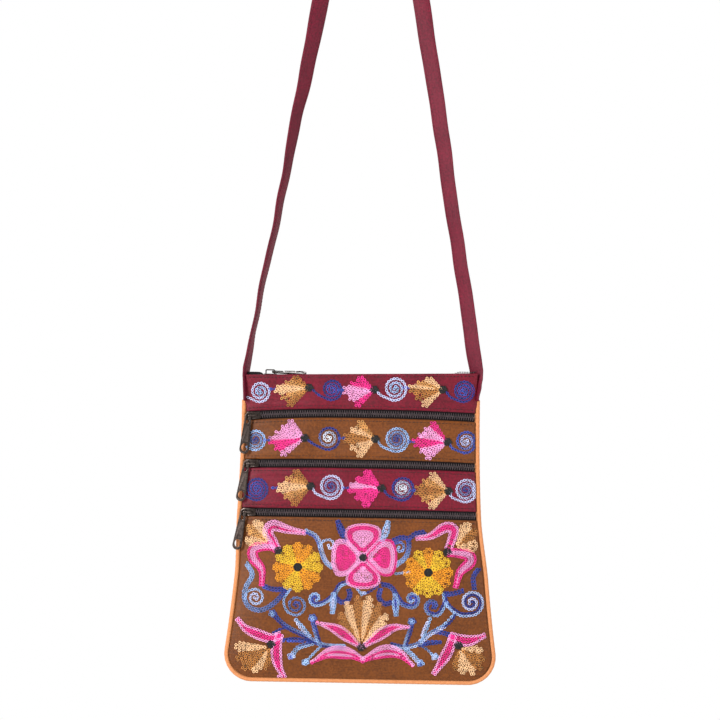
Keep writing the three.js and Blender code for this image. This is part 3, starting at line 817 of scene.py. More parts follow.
def opaque(value):
    return (*value, 1.0)


def add_bump(tree, shader, height, strength, depth):
    bump = add_node(tree, "ShaderNodeBump", {"Height": height, "Strength": strength, "Distance": depth})
    tree.links.new(bump.outputs[0], shader.inputs["Normal"])


# Cloths: their slubs' size, cloud size, roughness, sheen, relief, and what their pattern lies on
Weave = namedtuple("Weave", "slub cloud roughness sheen relief place")
SATIN_SLUB = (12 * MM, 12 * MM, 0.5 * MM)
SATIN = Weave(SATIN_SLUB, 30 * MM, 0.43, 0.0, 0.2 * MM, "Object")
STRAP_SATIN = Weave(SATIN_SLUB, 30 * MM, 0.5, 0.0, 0.2 * MM, "UV")
BIAS_CLOTH = Weave((3 * MM, 3 * MM, 0.6 * MM), 12 * MM, 0.62, 0.1, 0.15 * MM, "UV")
ZIP_TAPE = Weave((0.7 * MM, 0.7 * MM, 6 * MM), 20 * MM, 0.72, 0.05, 0.2 * MM, "Object")
ROUGHER, SMOOTHER = 0.08, 0.06
CLOTH_BUMP = 0.5
CLOTH_SPECULAR = 0.2
SHEEN_ROUGHNESS = 0.35


def cloth_material(name, light, dark, weave, pitch):
    """A woven cloth. Its pattern lies on the object's axes, or along the piece on its UV map."""
    if name in bpy.data.materials:
        return bpy.data.materials[name]
    material, tree, shader = new_material(name)
    place = add_node(tree, "ShaderNodeTexCoord").outputs[weave.place]
    if weave.place == "UV":
        flat = add_node(tree, "ShaderNodeSeparateXYZ", {0: place}).outputs
        place = add_node(tree, "ShaderNodeCombineXYZ", {"X": flat["X"], "Z": flat["Y"]}).outputs[0]
    inputs = {"Place": place, "Light": opaque(light), "Dark": opaque(dark), "Slub size": weave.slub,
              "Weave pitch": pitch, "Cloud size": weave.cloud}
    woven = add_node(tree, "ShaderNodeGroup", inputs, node_tree=woven_group()).outputs
    gloss = map_range(tree, woven["Slub"], 0.0, 1.0, weave.roughness + ROUGHER, weave.roughness - SMOOTHER)
    tree.links.new(woven["Colour"], shader.inputs["Base Color"])
    tree.links.new(gloss, shader.inputs["Roughness"])
    add_bump(tree, shader, woven["Height"], CLOTH_BUMP, weave.relief)
    shader.inputs["Sheen Weight"].default_value = weave.sheen
    shader.inputs["Sheen Roughness"].default_value = SHEEN_ROUGHNESS
    shader.inputs["Sheen Tint"].default_value = opaque(light)
    shader.inputs["Specular IOR Level"].default_value = CLOTH_SPECULAR
    return material


def satin(slot):
    """Maroon or brown satin with horizontal slubs."""
    tint = colours()
    light, dark = tint.brown, tint.brown_dark
    if slot == "maroon_cloth":
        light, dark = tint.maroon, tint.maroon_dark
    return cloth_material(slot.replace("cloth", "satin"), light, dark, SATIN, sizes().weave_pitch)


# Painted shade along the twist's grooves and in each stitch's hollow, then the thread's gloss, bump and
# specular
TWIST_SHADE = 0.15
PAINTED_SHADE_SCALE = 0.1
THREAD_GLOSS, THREAD_DULL = 0.45, 0.6
THREAD_BUMP, THREAD_GROOVE = 0.4, 0.05 * MM
THREAD_SPECULAR = 0.3


def thread_material(name):
    """Glossy twisted thread that takes its colour from each stitch, darkened with painted shade in the
    stitch's hollow and along the twist's grooves.
    """
    if name in bpy.data.materials:
        return bpy.data.materials[name]
    material, tree, shader = new_material(name)
    tint = add_node(tree, "ShaderNodeAttribute", attribute_name="thread_colour").outputs["Color"]
    place = add_node(tree, "ShaderNodeTexCoord").outputs["UV"]
    along = add_node(tree, "ShaderNodeSeparateXYZ", {0: place}).outputs
    slant = math_node(tree, "ADD", along["X"], along["Y"])
    twist = math_node(tree, "SINE", math_node(tree, "MULTIPLY", slant, math.tau))
    # The hollow attribute carries painted shade, mixed here with painted shade in the twist's grooves
    hollow = add_node(tree, "ShaderNodeAttribute", attribute_name="hollow").outputs["Fac"]
    shade = math_node(tree, "MAXIMUM", hollow, map_range(tree, twist, -1.0, 1.0, 0.0, TWIST_SHADE))
    fuller = add_node(tree, "ShaderNodeVectorMath", {0: tint, 1: tint}, operation="MULTIPLY").outputs[0]
    painted_shade_tint = add_node(tree, "ShaderNodeVectorMath", {0: fuller, "Scale": PAINTED_SHADE_SCALE}, operation="SCALE")
    tree.links.new(mix_colour(tree, shade, tint, painted_shade_tint.outputs[0]), shader.inputs["Base Color"])
    gloss = map_range(tree, twist, -1.0, 1.0, THREAD_GLOSS, THREAD_DULL)
    tree.links.new(gloss, shader.inputs["Roughness"])
    add_bump(tree, shader, twist, THREAD_BUMP, THREAD_GROOVE)
    shader.inputs["Specular IOR Level"].default_value = THREAD_SPECULAR
    return material


FILM_SCALE = 420.0
FILM_SPAN = (0.35, 0.65)
FILM_DETAIL, SCRATCH_DETAIL = 4.0, 2.0
FILM_ROUGHNESS = 0.14
SCRATCH_SIZE = (0.2 * MM, 0.2 * MM, 3 * MM)
SCRATCH_BUMP, SCRATCH_DEPTH = 0.15, 0.05 * MM


def tarnish_group():
    """Cloudy film and fine scratches on plated metal."""
    name = "Tarnish"
    if name in bpy.data.node_groups:
        return bpy.data.node_groups[name]
    tree, given, result = new_group(
        name, [("Place", VECTOR), ("Light", COLOUR), ("Dark", COLOUR)],
        [("Colour", COLOUR), ("Film", FLOAT), ("Height", FLOAT)])
    film = cloudy(tree, given["Place"], FILM_SCALE, FILM_DETAIL, FILM_SPAN)
    scratch = noise(tree, divide(tree, given["Place"], SCRATCH_SIZE), 1.0, SCRATCH_DETAIL)
    tree.links.new(mix_colour(tree, film, given["Light"], given["Dark"]), result.inputs["Colour"])
    tree.links.new(film, result.inputs["Film"])
    tree.links.new(scratch, result.inputs["Height"])
    return tree


def plated_material(name, light, dark, roughness, metallic):
    """Plated metal, or moulded nylon where it isn't metallic, with a cloudy film."""
    if name in bpy.data.materials:
        return bpy.data.materials[name]
    material, tree, shader = new_material(name)
    place = add_node(tree, "ShaderNodeTexCoord").outputs["Object"]
    inputs = {"Place": place, "Light": opaque(light), "Dark": opaque(dark)}
    film = add_node(tree, "ShaderNodeGroup", inputs, node_tree=tarnish_group()).outputs
    gloss = map_range(tree, film["Film"], 0.0, 1.0, roughness, roughness + FILM_ROUGHNESS)
    tree.links.new(film["Colour"], shader.inputs["Base Color"])
    tree.links.new(gloss, shader.inputs["Roughness"])
    add_bump(tree, shader, film["Height"], SCRATCH_BUMP, SCRATCH_DEPTH)
    shader.inputs["Metallic"].default_value = metallic
    return material


# Pieces along paths, by Geometry Nodes

PATH_TREE = "Pieces along paths"
PATH_INPUTS = (
    ("Paths", "NodeSocketGeometry"),
    ("Piece", "NodeSocketObject"),
    ("Spacing", "NodeSocketFloat"),
    ("Size spread", "NodeSocketFloat"),
    ("Seed", "NodeSocketInt"),
    ("Finish", "NodeSocketMaterial"),
)


def path_tree():
    """Sets a piece at even steps along each path: X along it, Z along its cloth_normal attribute."""
    if PATH_TREE in bpy.data.node_groups:
        return bpy.data.node_groups[PATH_TREE]
    tree = bpy.data.node_groups.new(PATH_TREE, "GeometryNodeTree")
    for label, kind in PATH_INPUTS:
        tree.interface.new_socket(label, in_out="INPUT", socket_type=kind)
    tree.interface.new_socket("Pieces", in_out="OUTPUT", socket_type="NodeSocketGeometry")
    given = tree.nodes.new("NodeGroupInput").outputs
    lines = add_node(tree, "GeometryNodeMeshToCurve", {"Mesh": given["Paths"]})
    steps = add_node(tree, "GeometryNodeResampleCurve",
                     {"Curve": lines.outputs[0], "Length": given["Spacing"]}, mode="LENGTH")
    normal = add_node(tree, "GeometryNodeInputNamedAttribute", {"Name": "cloth_normal"},
                      data_type="FLOAT_VECTOR")
    tangent = tree.nodes.new("GeometryNodeInputTangent")
    turn = add_node(tree, "FunctionNodeAxesToRotation", {0: normal.outputs[0], 1: tangent.outputs[0]},
                    primary_axis="Z", secondary_axis="X")
    smallest = add_node(tree, "ShaderNodeMath", {0: 1.0, 1: given["Size spread"]}, operation="SUBTRACT")
    largest = add_node(tree, "ShaderNodeMath", {0: 1.0, 1: given["Size spread"]}, operation="ADD")
    limits = {2: smallest.outputs[0], 3: largest.outputs[0], "Seed": given["Seed"]}
    size = add_node(tree, "FunctionNodeRandomValue", limits, data_type="FLOAT")
    piece = add_node(tree, "GeometryNodeObjectInfo", {"Object": given["Piece"]}, transform_space="ORIGINAL")
    placed = add_node(tree, "GeometryNodeInstanceOnPoints", {
        "Points": steps.outputs[0], "Instance": piece.outputs["Geometry"], "Rotation": turn.outputs[0],
        "Scale": size.outputs[1]})
    real = add_node(tree, "GeometryNodeRealizeInstances", {0: placed.outputs[0]})
    finished = add_node(tree, "GeometryNodeSetMaterial",
                        {"Geometry": real.outputs[0], "Material": given["Finish"]})
    result = tree.nodes.new("NodeGroupOutput")
    tree.links.new(finished.outputs[0], result.inputs["Pieces"])
    return tree


Path = namedtuple("Path", "points normals tints")


def add_attribute(mesh, name, kind, field, values):
    mesh.attributes.new(name, kind, "POINT").data.foreach_set(field, np.ravel(values))


def along_paths(name, paths, single_mesh, spacing, spread, seed, material):
    """A plain mesh object of single pieces set along paths."""
    points = np.concatenate([path.points for path in paths])
    starts = np.cumsum([0] + [len(path.points) for path in paths])
    edges = [(k, k + 1) for start, end in zip(starts, starts[1:]) for k in range(start, end - 1)]
    mesh = bpy.data.meshes.new(name + "_paths")
    mesh.from_pydata(points.tolist(), edges, [])
    normals = np.concatenate([path.normals for path in paths])
    add_attribute(mesh, "cloth_normal", "FLOAT_VECTOR", "vector", normals)
    if paths[0].tints is not None:
        tints = np.concatenate([path.tints for path in paths])
        tints = np.hstack([tints, np.ones((len(tints), 1))])
        add_attribute(mesh, "thread_colour", "FLOAT_COLOR", "color", tints)
    holder = new_object(name + "_paths", mesh)
    single = new_object(name + "_single", single_mesh)
    modifier = holder.modifiers.new("Along paths", "NODES")
    modifier.node_group = path_tree()
    values = {"Piece": single, "Spacing": spacing, "Size spread": spread, "Seed": seed, "Finish": material}
    for item in modifier.node_group.interface.items_tree:
        if item.name in values:
            modifier[item.identifier] = values[item.name]
    depsgraph = bpy.context.evaluated_depsgraph_get()
    made = bpy.data.meshes.new_from_object(
        holder.evaluated_get(depsgraph), preserve_all_data_layers=True, depsgraph=depsgraph)
    made.name = name
    holder.modifiers.remove(modifier)
    for scrap in (holder, single):
        scrap_mesh = scrap.data
        bpy.data.objects.remove(scrap)
        bpy.data.meshes.remove(scrap_mesh)
    if not made.polygons:
        raise RuntimeError(name + " has no faces")
    return new_object(name, made)


# One chain stitch: its steps, how far it overlaps the next and how pointed and raised its end is
LINK_STEPS = 8
LINK_OVERLAP = 1.16
LINK_POINT = 1.1
LINK_RISE = 0.3
# Rings round a stitch: how far out of the thread's middle, how high and how much painted shade darkens them,
# as shares
LinkRing = namedtuple("LinkRing", "out height shade")
LINK_RINGS = (
    LinkRing(0.5, -0.1, 0.6),
    LinkRing(0.3, 0.6, 0.0),
    LinkRing(-0.15, 0.75, 0.0),
    LinkRing(-0.6, 0.2, 1.0),
)
LINK_SLIT = 0.05 * MM


def chain_link_mesh(spacing, width, thread):
    """One chain stitch: a teardrop loop of thread round a hollow darkened with painted shade, its narrow end
    raised.
    """
    turn = np.arange(LINK_STEPS) * math.tau / LINK_STEPS
    long = spacing * LINK_OVERLAP - thread
    wide = (width - thread) / 2
    swell = np.sin(turn) * np.abs(np.sin(turn / 2)) ** LINK_POINT
    line = np.stack([-long / 2 * np.cos(turn), wide * swell / np.abs(swell).max()], axis=-1)
    ahead = unit(np.roll(line, -1, axis=0) - np.roll(line, 1, axis=0))
    outward = np.stack([-ahead[:, 1], ahead[:, 0]], axis=-1)
    raised = LINK_RISE * (1 + np.cos(turn)) / 2
    rings = []
    for ring in LINK_RINGS:
        flat = line + outward * ring.out * thread
        across = np.maximum(flat[:, 1] * np.sign(line[:, 1]), LINK_SLIT) * np.sign(line[:, 1])
        flat[1:, 1] = across[1:]
        rings.append(np.column_stack([flat, thread * (ring.height + raised)]))
    points, faces = tube(np.array(rings))
    uv = np.meshgrid(np.arange(len(LINK_RINGS)) / 2, np.arange(LINK_STEPS), indexing="ij")
    mesh = solid_mesh("chain_link", points, faces, np.stack(uv, axis=-1).reshape(-1, 2))
    # Painted shade: the hollow attribute darkens the lower rings and the hollow's floor
    painted_shades = np.repeat([ring.shade for ring in LINK_RINGS], LINK_STEPS)
    add_attribute(mesh, "hollow", "FLOAT", "value", painted_shades)
    return mesh


# One topstitch: its rise, dip and narrowing at the ends are shares of its thread
RUNNING_STEPS = 5
RUNNING_SIDES = 6
RUNNING_SHARE = 0.82
RUNNING_RISE, RUNNING_DIP = 0.35, 0.8
RUNNING_NARROWING = 0.6
RUNNING_END_POWER = 4


def topstitch_mesh(spacing, thread):
    """One straight stitch that dips into the cloth at both ends."""
    along = np.linspace(-0.5, 0.5, RUNNING_STEPS)
    x = along * spacing * RUNNING_SHARE
    ends = (2 * along) ** RUNNING_END_POWER
    z = thread * (RUNNING_RISE - RUNNING_DIP * ends)
    thick = thread / 2 * (1 - RUNNING_NARROWING * ends)
    corner = np.arange(RUNNING_SIDES) * math.tau / RUNNING_SIDES
    y = np.cos(corner)[None, :] * thick[:, None]
    lift = np.sin(corner)[None, :] * thick[:, None] + z[:, None]
    rings = np.stack([np.broadcast_to(x[:, None], y.shape), y, lift], axis=-1)
    points, faces = tube(rings)
    uv = np.stack(np.meshgrid(along * 2, corner / math.tau, indexing="ij"), axis=-1)
    return solid_mesh("topstitch", points, faces, uv.reshape(-1, 2))


# Cloth pieces

EDGE_STEPS = (0 * MM, 0.06 * MM, 0.2 * MM, 0.5 * MM)


def panel_rows(panel):
    """Rows of a cloth piece as a share of its height and an offset, close together at the hems."""
    rows = [(0.0, offset) for offset in EDGE_STEPS]
    last = EDGE_STEPS[-1]
    for k in range(1, panel.rows):
        share = k / panel.rows
        if not panel.lower_hem:
            share = math.sin(math.pi / 2 * share)
        rows.append((share, last * (1 - 2 * share)))
    return rows + [(1.0, -offset) for offset in reversed(EDGE_STEPS)]


def panel_piece(panel):
    """A cloth piece as a thin closed shell with rounded hems."""
    rows = panel_rows(panel)
    across = np.linspace(-1, 1, panel.columns + 1)
    upper, lower = panel_edges(panel.name, across)
    depth = np.stack([upper + (lower - upper) * share + offset for share, offset in rows])
    across = np.broadcast_to(across, depth.shape)
    height = relief(panel.name, across, depth)
    from_hem = np.minimum(hem_distance(panel.name, across, depth), HEM_ROUND)
    rounding = HEM_ROUND - np.sqrt(np.maximum(0, HEM_ROUND ** 2 - (HEM_ROUND - from_hem) ** 2))
    rounding = np.minimum(rounding, HEM_CLOSING * CLOTH)
    widen = MOUTH_SIDE_REACH * (1 - smoothstep(PIPING_START, MOUTH_SIDE_END, depth))
    outer = face_point(across, depth, height - rounding, panel.side)
    inner = face_point(across, depth, np.maximum(height, 0) - CLOTH + rounding, panel.side)
    for layer in (outer, inner):
        layer[..., 0] += np.sign(across) * np.abs(across) ** MOUTH_SIDE_POWER * widen
    piece = solid_piece(panel.name + "_cloth", *shell(outer, inner))
    finish_piece(piece, "bag", panel.slot, satin(panel.slot), panel.name)
    return piece


PIPING_SIDES = 16
PIPING_STEP = 1.4 * MM
FLANGE_HALF_THICKNESS = 0.25 * MM
FLANGE_WIDTH = 3.4 * MM
SEAM_LAP = 0.6 * MM
RIPPLE = 0.035
RIPPLE_LENGTH = 4.6 * MM
RIPPLE_TWIST = 2


def seam_half(start, inset, step):
    """The right half of the seam, from its upper end at a depth to the middle of the bottom."""
    side = np.linspace(start, ARC_START, round((ARC_START - start) / step), endpoint=False)
    radius = CORNER_RADIUS - inset
    steps = round(radius * (FLARE_ANGLE + math.pi / 2) / step)
    turn = np.linspace(FLARE_ANGLE, -math.pi / 2, steps, endpoint=False)
    foot = np.linspace(CORNER_X, 0, round(CORNER_X / step))
    x = np.concatenate([half_width(side, inset), CORNER_X + radius * np.cos(turn), foot])
    bottom = np.full_like(foot, inset - POUCH_HEIGHT)
    z = np.concatenate([-side, -CORNER_DEPTH + radius * np.sin(turn), bottom])
    return np.stack([x, z + POUCH_TOP], axis=-1)


def seam_line(inset, step):
    """The seam from its left upper end round to its right upper end, with its outward directions."""
    left = seam_half(-LEFT_FOOT - SEAM_LAP, inset, step)[:-1] * (-1, 1)
    line = np.concatenate([left, seam_half(-RIGHT_FOOT - SEAM_LAP, inset, step)[::-1]])
    line[:, 0] += lean(POUCH_TOP - line[:, 1])
    ahead = unit(np.gradient(line, axis=0))
    return line, np.stack([ahead[:, 1], -ahead[:, 0]], axis=-1)


def running_length(line):
    return np.concatenate([[0], np.cumsum(np.linalg.norm(np.diff(line, axis=0), axis=-1))])


def piping_piece():
    """Covered cord with its sewn flange between the walls, lightly rippled by the bias cloth."""
    line, outward = seam_line(PIPING_RADIUS, PIPING_STEP)
    run = running_length(line)
    joint = math.asin(FLANGE_HALF_THICKNESS / PIPING_RADIUS)
    angle = np.linspace(math.pi - joint, joint - math.pi, PIPING_SIDES)
    ripple = 1 + RIPPLE * np.sin(math.tau * run[:, None] / RIPPLE_LENGTH + RIPPLE_TWIST * angle[None, :])
    away = PIPING_RADIUS * ripple * np.cos(angle)
    thick = PIPING_RADIUS * ripple * np.sin(angle)
    ends = np.full((len(line), 1), 1.0)
    away = np.hstack([away, -FLANGE_WIDTH * ends, -FLANGE_WIDTH * ends])
    thick = np.hstack([thick, -FLANGE_HALF_THICKNESS * ends, FLANGE_HALF_THICKNESS * ends])
    x = line[:, :1] + away * outward[:, :1]
    z = line[:, 1:] + away * outward[:, 1:]
    points, faces = tube(np.stack([x, thick, z], axis=-1))
    around = np.concatenate([angle, [-math.pi, math.pi]]) * PIPING_RADIUS
    uv = np.stack(np.broadcast_arrays(run[:, None], around[None, :]), axis=-1)
    piece = solid_piece("piping_cord", points, faces, uv.reshape(-1, 2))
    tint = colours()
    material = cloth_material(
        "orange_bias_cloth", tint.orange, tint.orange_dark, BIAS_CLOTH, sizes().weave_pitch)
    return finish_piece(piece, "bag", "orange_piping", material, "piping")


# Strap

STRAP_STEP = 2.2 * MM
STRAP_SECTION = 13
STRAP_EDGE_POWER = 5
STRAP_GROOVE = 0.22
STRAP_STITCH_INSET = 1.9 * MM
STRAP_STITCH_SINK = 0.14 * MM
STRAP_GROOVE_WIDTH = 0.7 * MM
StrapWave = namedtuple("StrapWave", "length height phase")
STRAP_WAVES = (
    StrapWave(61 * MM, 0.35 * MM, 0.4),
    StrapWave(37 * MM, 0.22 * MM, 2.1),
    StrapWave(143 * MM, 0.6 * MM, 1.0),
)
STRAP_SLACK_FOOT, STRAP_SLACK_TOP = 40 * MM, 30 * MM
STRAP_RUN_START = 0.008
SEWN_STEPS = 10
ARCH_STEPS = 12
STRAP_UNSTITCHED = 12


def strap_turn(height, right_side):
    heights = np.array([row.height for row in STRAP_TURNS]) * MM
    turns = np.array([row.right if right_side else row.left for row in STRAP_TURNS], float)
    row = np.clip(np.searchsorted(heights, height) - 1, 0, len(heights) - 2)
    part = smoothstep(heights[row], heights[row + 1], height)
    return np.radians(turns[row] + (turns[row + 1] - turns[row]) * part)


def strap_half(foot):
    """Middle line of the right half of the strap, from its sewn foot to the top of the loop."""
    radius = HANG_RADIUS + STRAP_THICKNESS / 2
    rise = -POUCH_TOP - HANG_RADIUS
    slope = math.atan2(STRAP_SEWN_X, rise) - math.asin(radius / math.hypot(STRAP_SEWN_X, rise))
    tangent = np.array([radius * math.cos(slope), radius * math.sin(slope) - HANG_RADIUS])
    corner = np.array([STRAP_SEWN_X, POUCH_TOP])
    sewn = np.linspace(foot, STRAP_SEWN_HEAD, SEWN_STEPS)
    sewn = np.stack([np.full_like(sewn, STRAP_SEWN_X), POUCH_TOP + sewn], axis=-1)
    steps = round(np.linalg.norm(tangent - corner) / STRAP_STEP)
    run = corner + (tangent - corner) * np.linspace(STRAP_RUN_START, 1, steps)[:, None]
    turn = np.linspace(slope, math.pi / 2, ARCH_STEPS)[1:]
    arch = np.stack([radius * np.cos(turn), radius * np.sin(turn) - HANG_RADIUS], axis=-1)
    return np.concatenate([sewn, run, arch])


def strap_frame():
    """The strap's middle line, its width and face directions and its running length."""
    line = np.concatenate([strap_half(LEFT_FOOT)[:-1] * (-1, 1), strap_half(RIGHT_FOOT)[::-1]])
    height = line[:, 1] - POUCH_TOP
    right_side = line[:, 0] >= 0
    climbed = np.clip(-height / POUCH_TOP, 0, 1)
    line[:, 0] += STRAP_SWAY * np.sin(math.pi * climbed ** STRAP_SWAY_POWER)
    ahead = unit(np.gradient(line, axis=0))
    turn = np.where(right_side, strap_turn(height, True), strap_turn(height, False))[:, None]
    zero = np.zeros(len(line))
    inward = np.stack([ahead[:, 1], zero, -ahead[:, 0]], axis=-1)
    back = np.array([0.0, 1.0, 0.0])
    width = inward * np.cos(turn) + back * np.sin(turn)
    face = inward * np.sin(turn) - back * np.cos(turn)
    middle = np.stack([line[:, 0], zero, line[:, 1]], axis=-1)
    run = running_length(line)
    free = smoothstep(0.0, STRAP_SLACK_FOOT, height) * smoothstep(0.0, STRAP_SLACK_TOP, -line[:, 1])
    for wave in STRAP_WAVES:
        bend = free * wave.height * np.sin(math.tau * run / wave.length + wave.phase)
        middle += face * bend[:, None]
    return middle, width, face, run


def strap_piece():
    """Flat loop of folded satin with soft edges and a sewn line along each edge."""
    middle, width, face, run = strap_frame()
    half = STRAP_WIDTH / 2
    place = np.sin(np.linspace(-math.pi / 2, math.pi / 2, STRAP_SECTION)) * half
    from_edge = half - np.abs(place)
    thick = STRAP_THICKNESS / 2 * np.sqrt(1 - (np.abs(place) / half) ** STRAP_EDGE_POWER)
    groove = np.exp(-((from_edge - STRAP_STITCH_INSET) / STRAP_GROOVE_WIDTH) ** 2)
    thick = thick * (1 - STRAP_GROOVE * groove)
    across = np.concatenate([place, place[-2:0:-1]])
    level = np.concatenate([thick, -thick[-2:0:-1]])
    rings = middle[:, None] + width[:, None] * across[None, :, None] + face[:, None] * level[None, :, None]
    points, faces = tube(rings)
    uv = np.stack(np.broadcast_arrays(run[:, None], across[None, :]), axis=-1)
    piece = solid_piece("strap_cloth", points, faces, uv.reshape(-1, 2))
    tint = colours()
    material = cloth_material("strap_satin", tint.strap, tint.strap_dark, STRAP_SATIN, sizes().weave_pitch)
    finish_piece(piece, "bag", "maroon_cloth", material, "strap")
    return piece


def strap_stitch_paths(tint):
    """Sewn lines along both edges, on both faces of the strap."""
    middle, width, face, _ = strap_frame()
    inset = STRAP_WIDTH / 2 - STRAP_STITCH_INSET
    level = STRAP_THICKNESS / 2 * (1 - STRAP_GROOVE) - STRAP_STITCH_SINK
    free = slice(STRAP_UNSTITCHED, -STRAP_UNSTITCHED)
    paths = []
    for edge in (-1, 1):
        for side in (-1, 1):
            points = middle + width * edge * inset + face * side * level
            paths.append(Path(points[free], face[free] * side, np.tile(tint, (len(points[free]), 1))))
    return paths


# Zips

TAPE_COLUMNS = 110
TAPE_ROWS = 6
LIFT_START, LIFT_END, LIFT_HEIGHT = 66 * MM, 79 * MM, 5.2 * MM
TAPE_BULGE_X, TAPE_BULGE_WIDTH, TAPE_BULGE_HEIGHT = -86 * MM, 8.5 * MM, 4.2 * MM
TAPE_BULGE_POWER = 6
TAPE_DARK = 0.55
TAPE_PITCH = 0.5 * MM
TAPE_CREASE = math.radians(50)
FRAME_STEP = 1e-3


def tape_edge(along_slider):
    """How far a tape's inner edge stands from the zip's middle: it parts round the slider's post."""
    shut = smoothstep(TAPE_OPEN, TAPE_SHUT, along_slider)
    return TAPE_HALF_GAP + (TAPE_SHUT_GAP - TAPE_HALF_GAP) * shut


def slider_across(zip_line):
    return SLIDER_INSET / face_reach(zip_line.depth) - 1


def zip_frame(zip_line, across):
    """Matrix on a front zip's middle line: X along the zip, Y up the face, Z outwards."""
    further = across + FRAME_STEP
    here = Vector(face_point(across, zip_depth(zip_line, across), 0))
    ahead = Vector(face_point(further, zip_depth(zip_line, further), 0))
    higher = Vector(face_point(across, zip_depth(zip_line, across) - FRAME_STEP * MM, 0))
    along = (ahead - here).normalized()
    outward = along.cross(higher - here).normalized()
    up = outward.cross(along)
    turned = Matrix((along, up, outward)).transposed().to_4x4()
    return Matrix.Translation(here) @ turned


def top_lift(x):
    """The top zip rides up a little at its right end, and its open tapes bulge at the left."""
    right = LIFT_HEIGHT * smoothstep(LIFT_START, LIFT_END, x)
    return right + TAPE_BULGE_HEIGHT * np.exp(-((x - TAPE_BULGE_X) / TAPE_BULGE_WIDTH) ** TAPE_BULGE_POWER)


def tape_material():
    tint = colours().tape
    dark = [value * TAPE_DARK for value in tint]
    return cloth_material("zip_tape_weave", tint, dark, ZIP_TAPE, TAPE_PITCH)


def front_tape(zip_line, name, sign):
    """A tape of a front zip, behind the cloth above or below its slot."""
    across = np.linspace(-TAPE_REACH, TAPE_REACH, TAPE_COLUMNS)[None, :]
    part = np.linspace(0, 1, TAPE_ROWS)[:, None]
    edge = tape_edge((across - slider_across(zip_line)) * face_reach(zip_line.depth))
    depth = zip_depth(zip_line, across) + sign * (edge + (TAPE_WIDTH - edge) * part)
    layers = [face_point(across, depth, level) for level in (TAPE_OUTER, TAPE_INNER)]
    piece = solid_piece(name + "_cloth", *shell(*layers))
    return finish_piece(piece, "bag", "zip_tape", tape_material(), name)


def top_tape(name, side):
    """A tape of the top zip, flat in the mouth, with its flange sewn down inside the wall."""
    reach = TAPE_REACH * face_reach(0.0)
    x = np.linspace(-reach, reach, TAPE_COLUMNS)
    across = x / reach * TAPE_REACH
    high, low = TOP_ZIP_DEPTH - TAPE_OUTER, TOP_ZIP_DEPTH - TAPE_INNER
    inner = side * tape_edge(x - TOP_SLIDER_X)

    def sewn(depth, level):
        points = face_point(across, depth, level, side)
        points[:, 0] = x
        return points

    def lying(depth):
        return np.stack([x, inner, POUCH_TOP - depth + top_lift(x)], axis=-1)

    rings = np.stack([sewn(low, TAPE_INNER), lying(low), lying(high), sewn(high, TAPE_OUTER),
                      sewn(TOP_FLANGE_DEPTH, TAPE_OUTER), sewn(TOP_FLANGE_DEPTH, TAPE_INNER)], axis=1)
    piece = solid_piece(name + "_cloth", *tube(rings))
    piece.data.set_sharp_from_angle(angle=TAPE_CREASE)
    return finish_piece(piece, "bag", "zip_tape", tape_material(), name)


# One coil loop seen along the zip: places from the middle and outwards, in millimetres
TOOTH_LINE = ((2.15, -0.8), (2.25, -0.1), (1.95, 0.34), (1.0, 0.5), (-0.15, 0.44), (-0.5, 0.05))
TOOTH_SIDES = 5
TOOTH_HALF_WIDTH = 0.26 * MM
TOOTH_HALF_THICKNESS = 0.26 * MM


def tooth_rings(row, x):
    """Rings of one coil loop of the upper or lower row, from its tape to just past the middle."""
    line = np.array(TOOTH_LINE) * MM
    ahead = unit(np.gradient(line, axis=0))
    corner = np.arange(TOOTH_SIDES) * math.tau / TOOTH_SIDES
    thick = TOOTH_HALF_THICKNESS * np.cos(corner)[None, :]
    y = row * (line[:, :1] - ahead[:, 1:] * thick)
    z = line[:, 1:] + ahead[:, :1] * thick
    wide = np.broadcast_to(x + TOOTH_HALF_WIDTH * np.sin(corner)[None, :], y.shape)
    return np.stack([wide, y, z], axis=-1)


def tooth_pair_mesh(pitch):
    """A loop of each row, half a pitch apart, as they interlock."""
    points, faces = [], []
    for row in (-1, 1):
        new_points, new_faces = tube(tooth_rings(row, row * pitch / 4))
        if signed_volume(new_points, new_faces) < 0:
            new_faces = [face[::-1] for face in new_faces]
        faces += [[k + len(points) for k in face] for face in new_faces]
        points += new_points.tolist()
    return solid_mesh("tooth_pair", points, faces)


TEETH_STEPS = 160
TEETH_SEED = 3
TEETH_DARK = 0.5
NYLON_ROUGHNESS = 0.34


def front_teeth_path(zip_line):
    across = np.linspace(slider_across(zip_line), CHAIN_REACH, TEETH_STEPS)
    points = face_point(across, zip_depth(zip_line, across), 0)
    normals = np.array([zip_frame(zip_line, place).col[2][:3] for place in across])
    return Path(points, normals, None)


def top_teeth_path():
    x = np.linspace(TOP_SLIDER_X, CHAIN_REACH * face_reach(0.0), TEETH_STEPS)
    points = np.stack([x, np.zeros_like(x), POUCH_TOP - TOP_ZIP_DEPTH + top_lift(x)], axis=-1)
    return Path(points, np.tile((0.0, 0.0, 1.0), (len(x), 1)), None)


def teeth_piece(name, path):
    tint = colours().teeth
    dark = [value * TEETH_DARK for value in tint]
    material = plated_material("zip_nylon", tint, dark, NYLON_ROUGHNESS, metallic=0.0)
    pitch = sizes().tooth_pitch
    piece = along_paths(name + "_teeth", [path], tooth_pair_mesh(pitch), pitch, 0.0, TEETH_SEED, material)
    return finish_piece(piece, "bag", "zip_teeth", material, name + "_chain")


# Sliders and pulls

BEVEL_STEPS = 2
ROUND_STEPS = 24
SOFT_EDGE = 0.2 * MM
BRIDGE_SIDES = 12
BRIDGE_SQUARENESS = 0.5
METAL_ROUGHNESS = 0.22
METAL_CREASE = math.radians(35)
WELD_DISTANCE = 1e-3 * MM


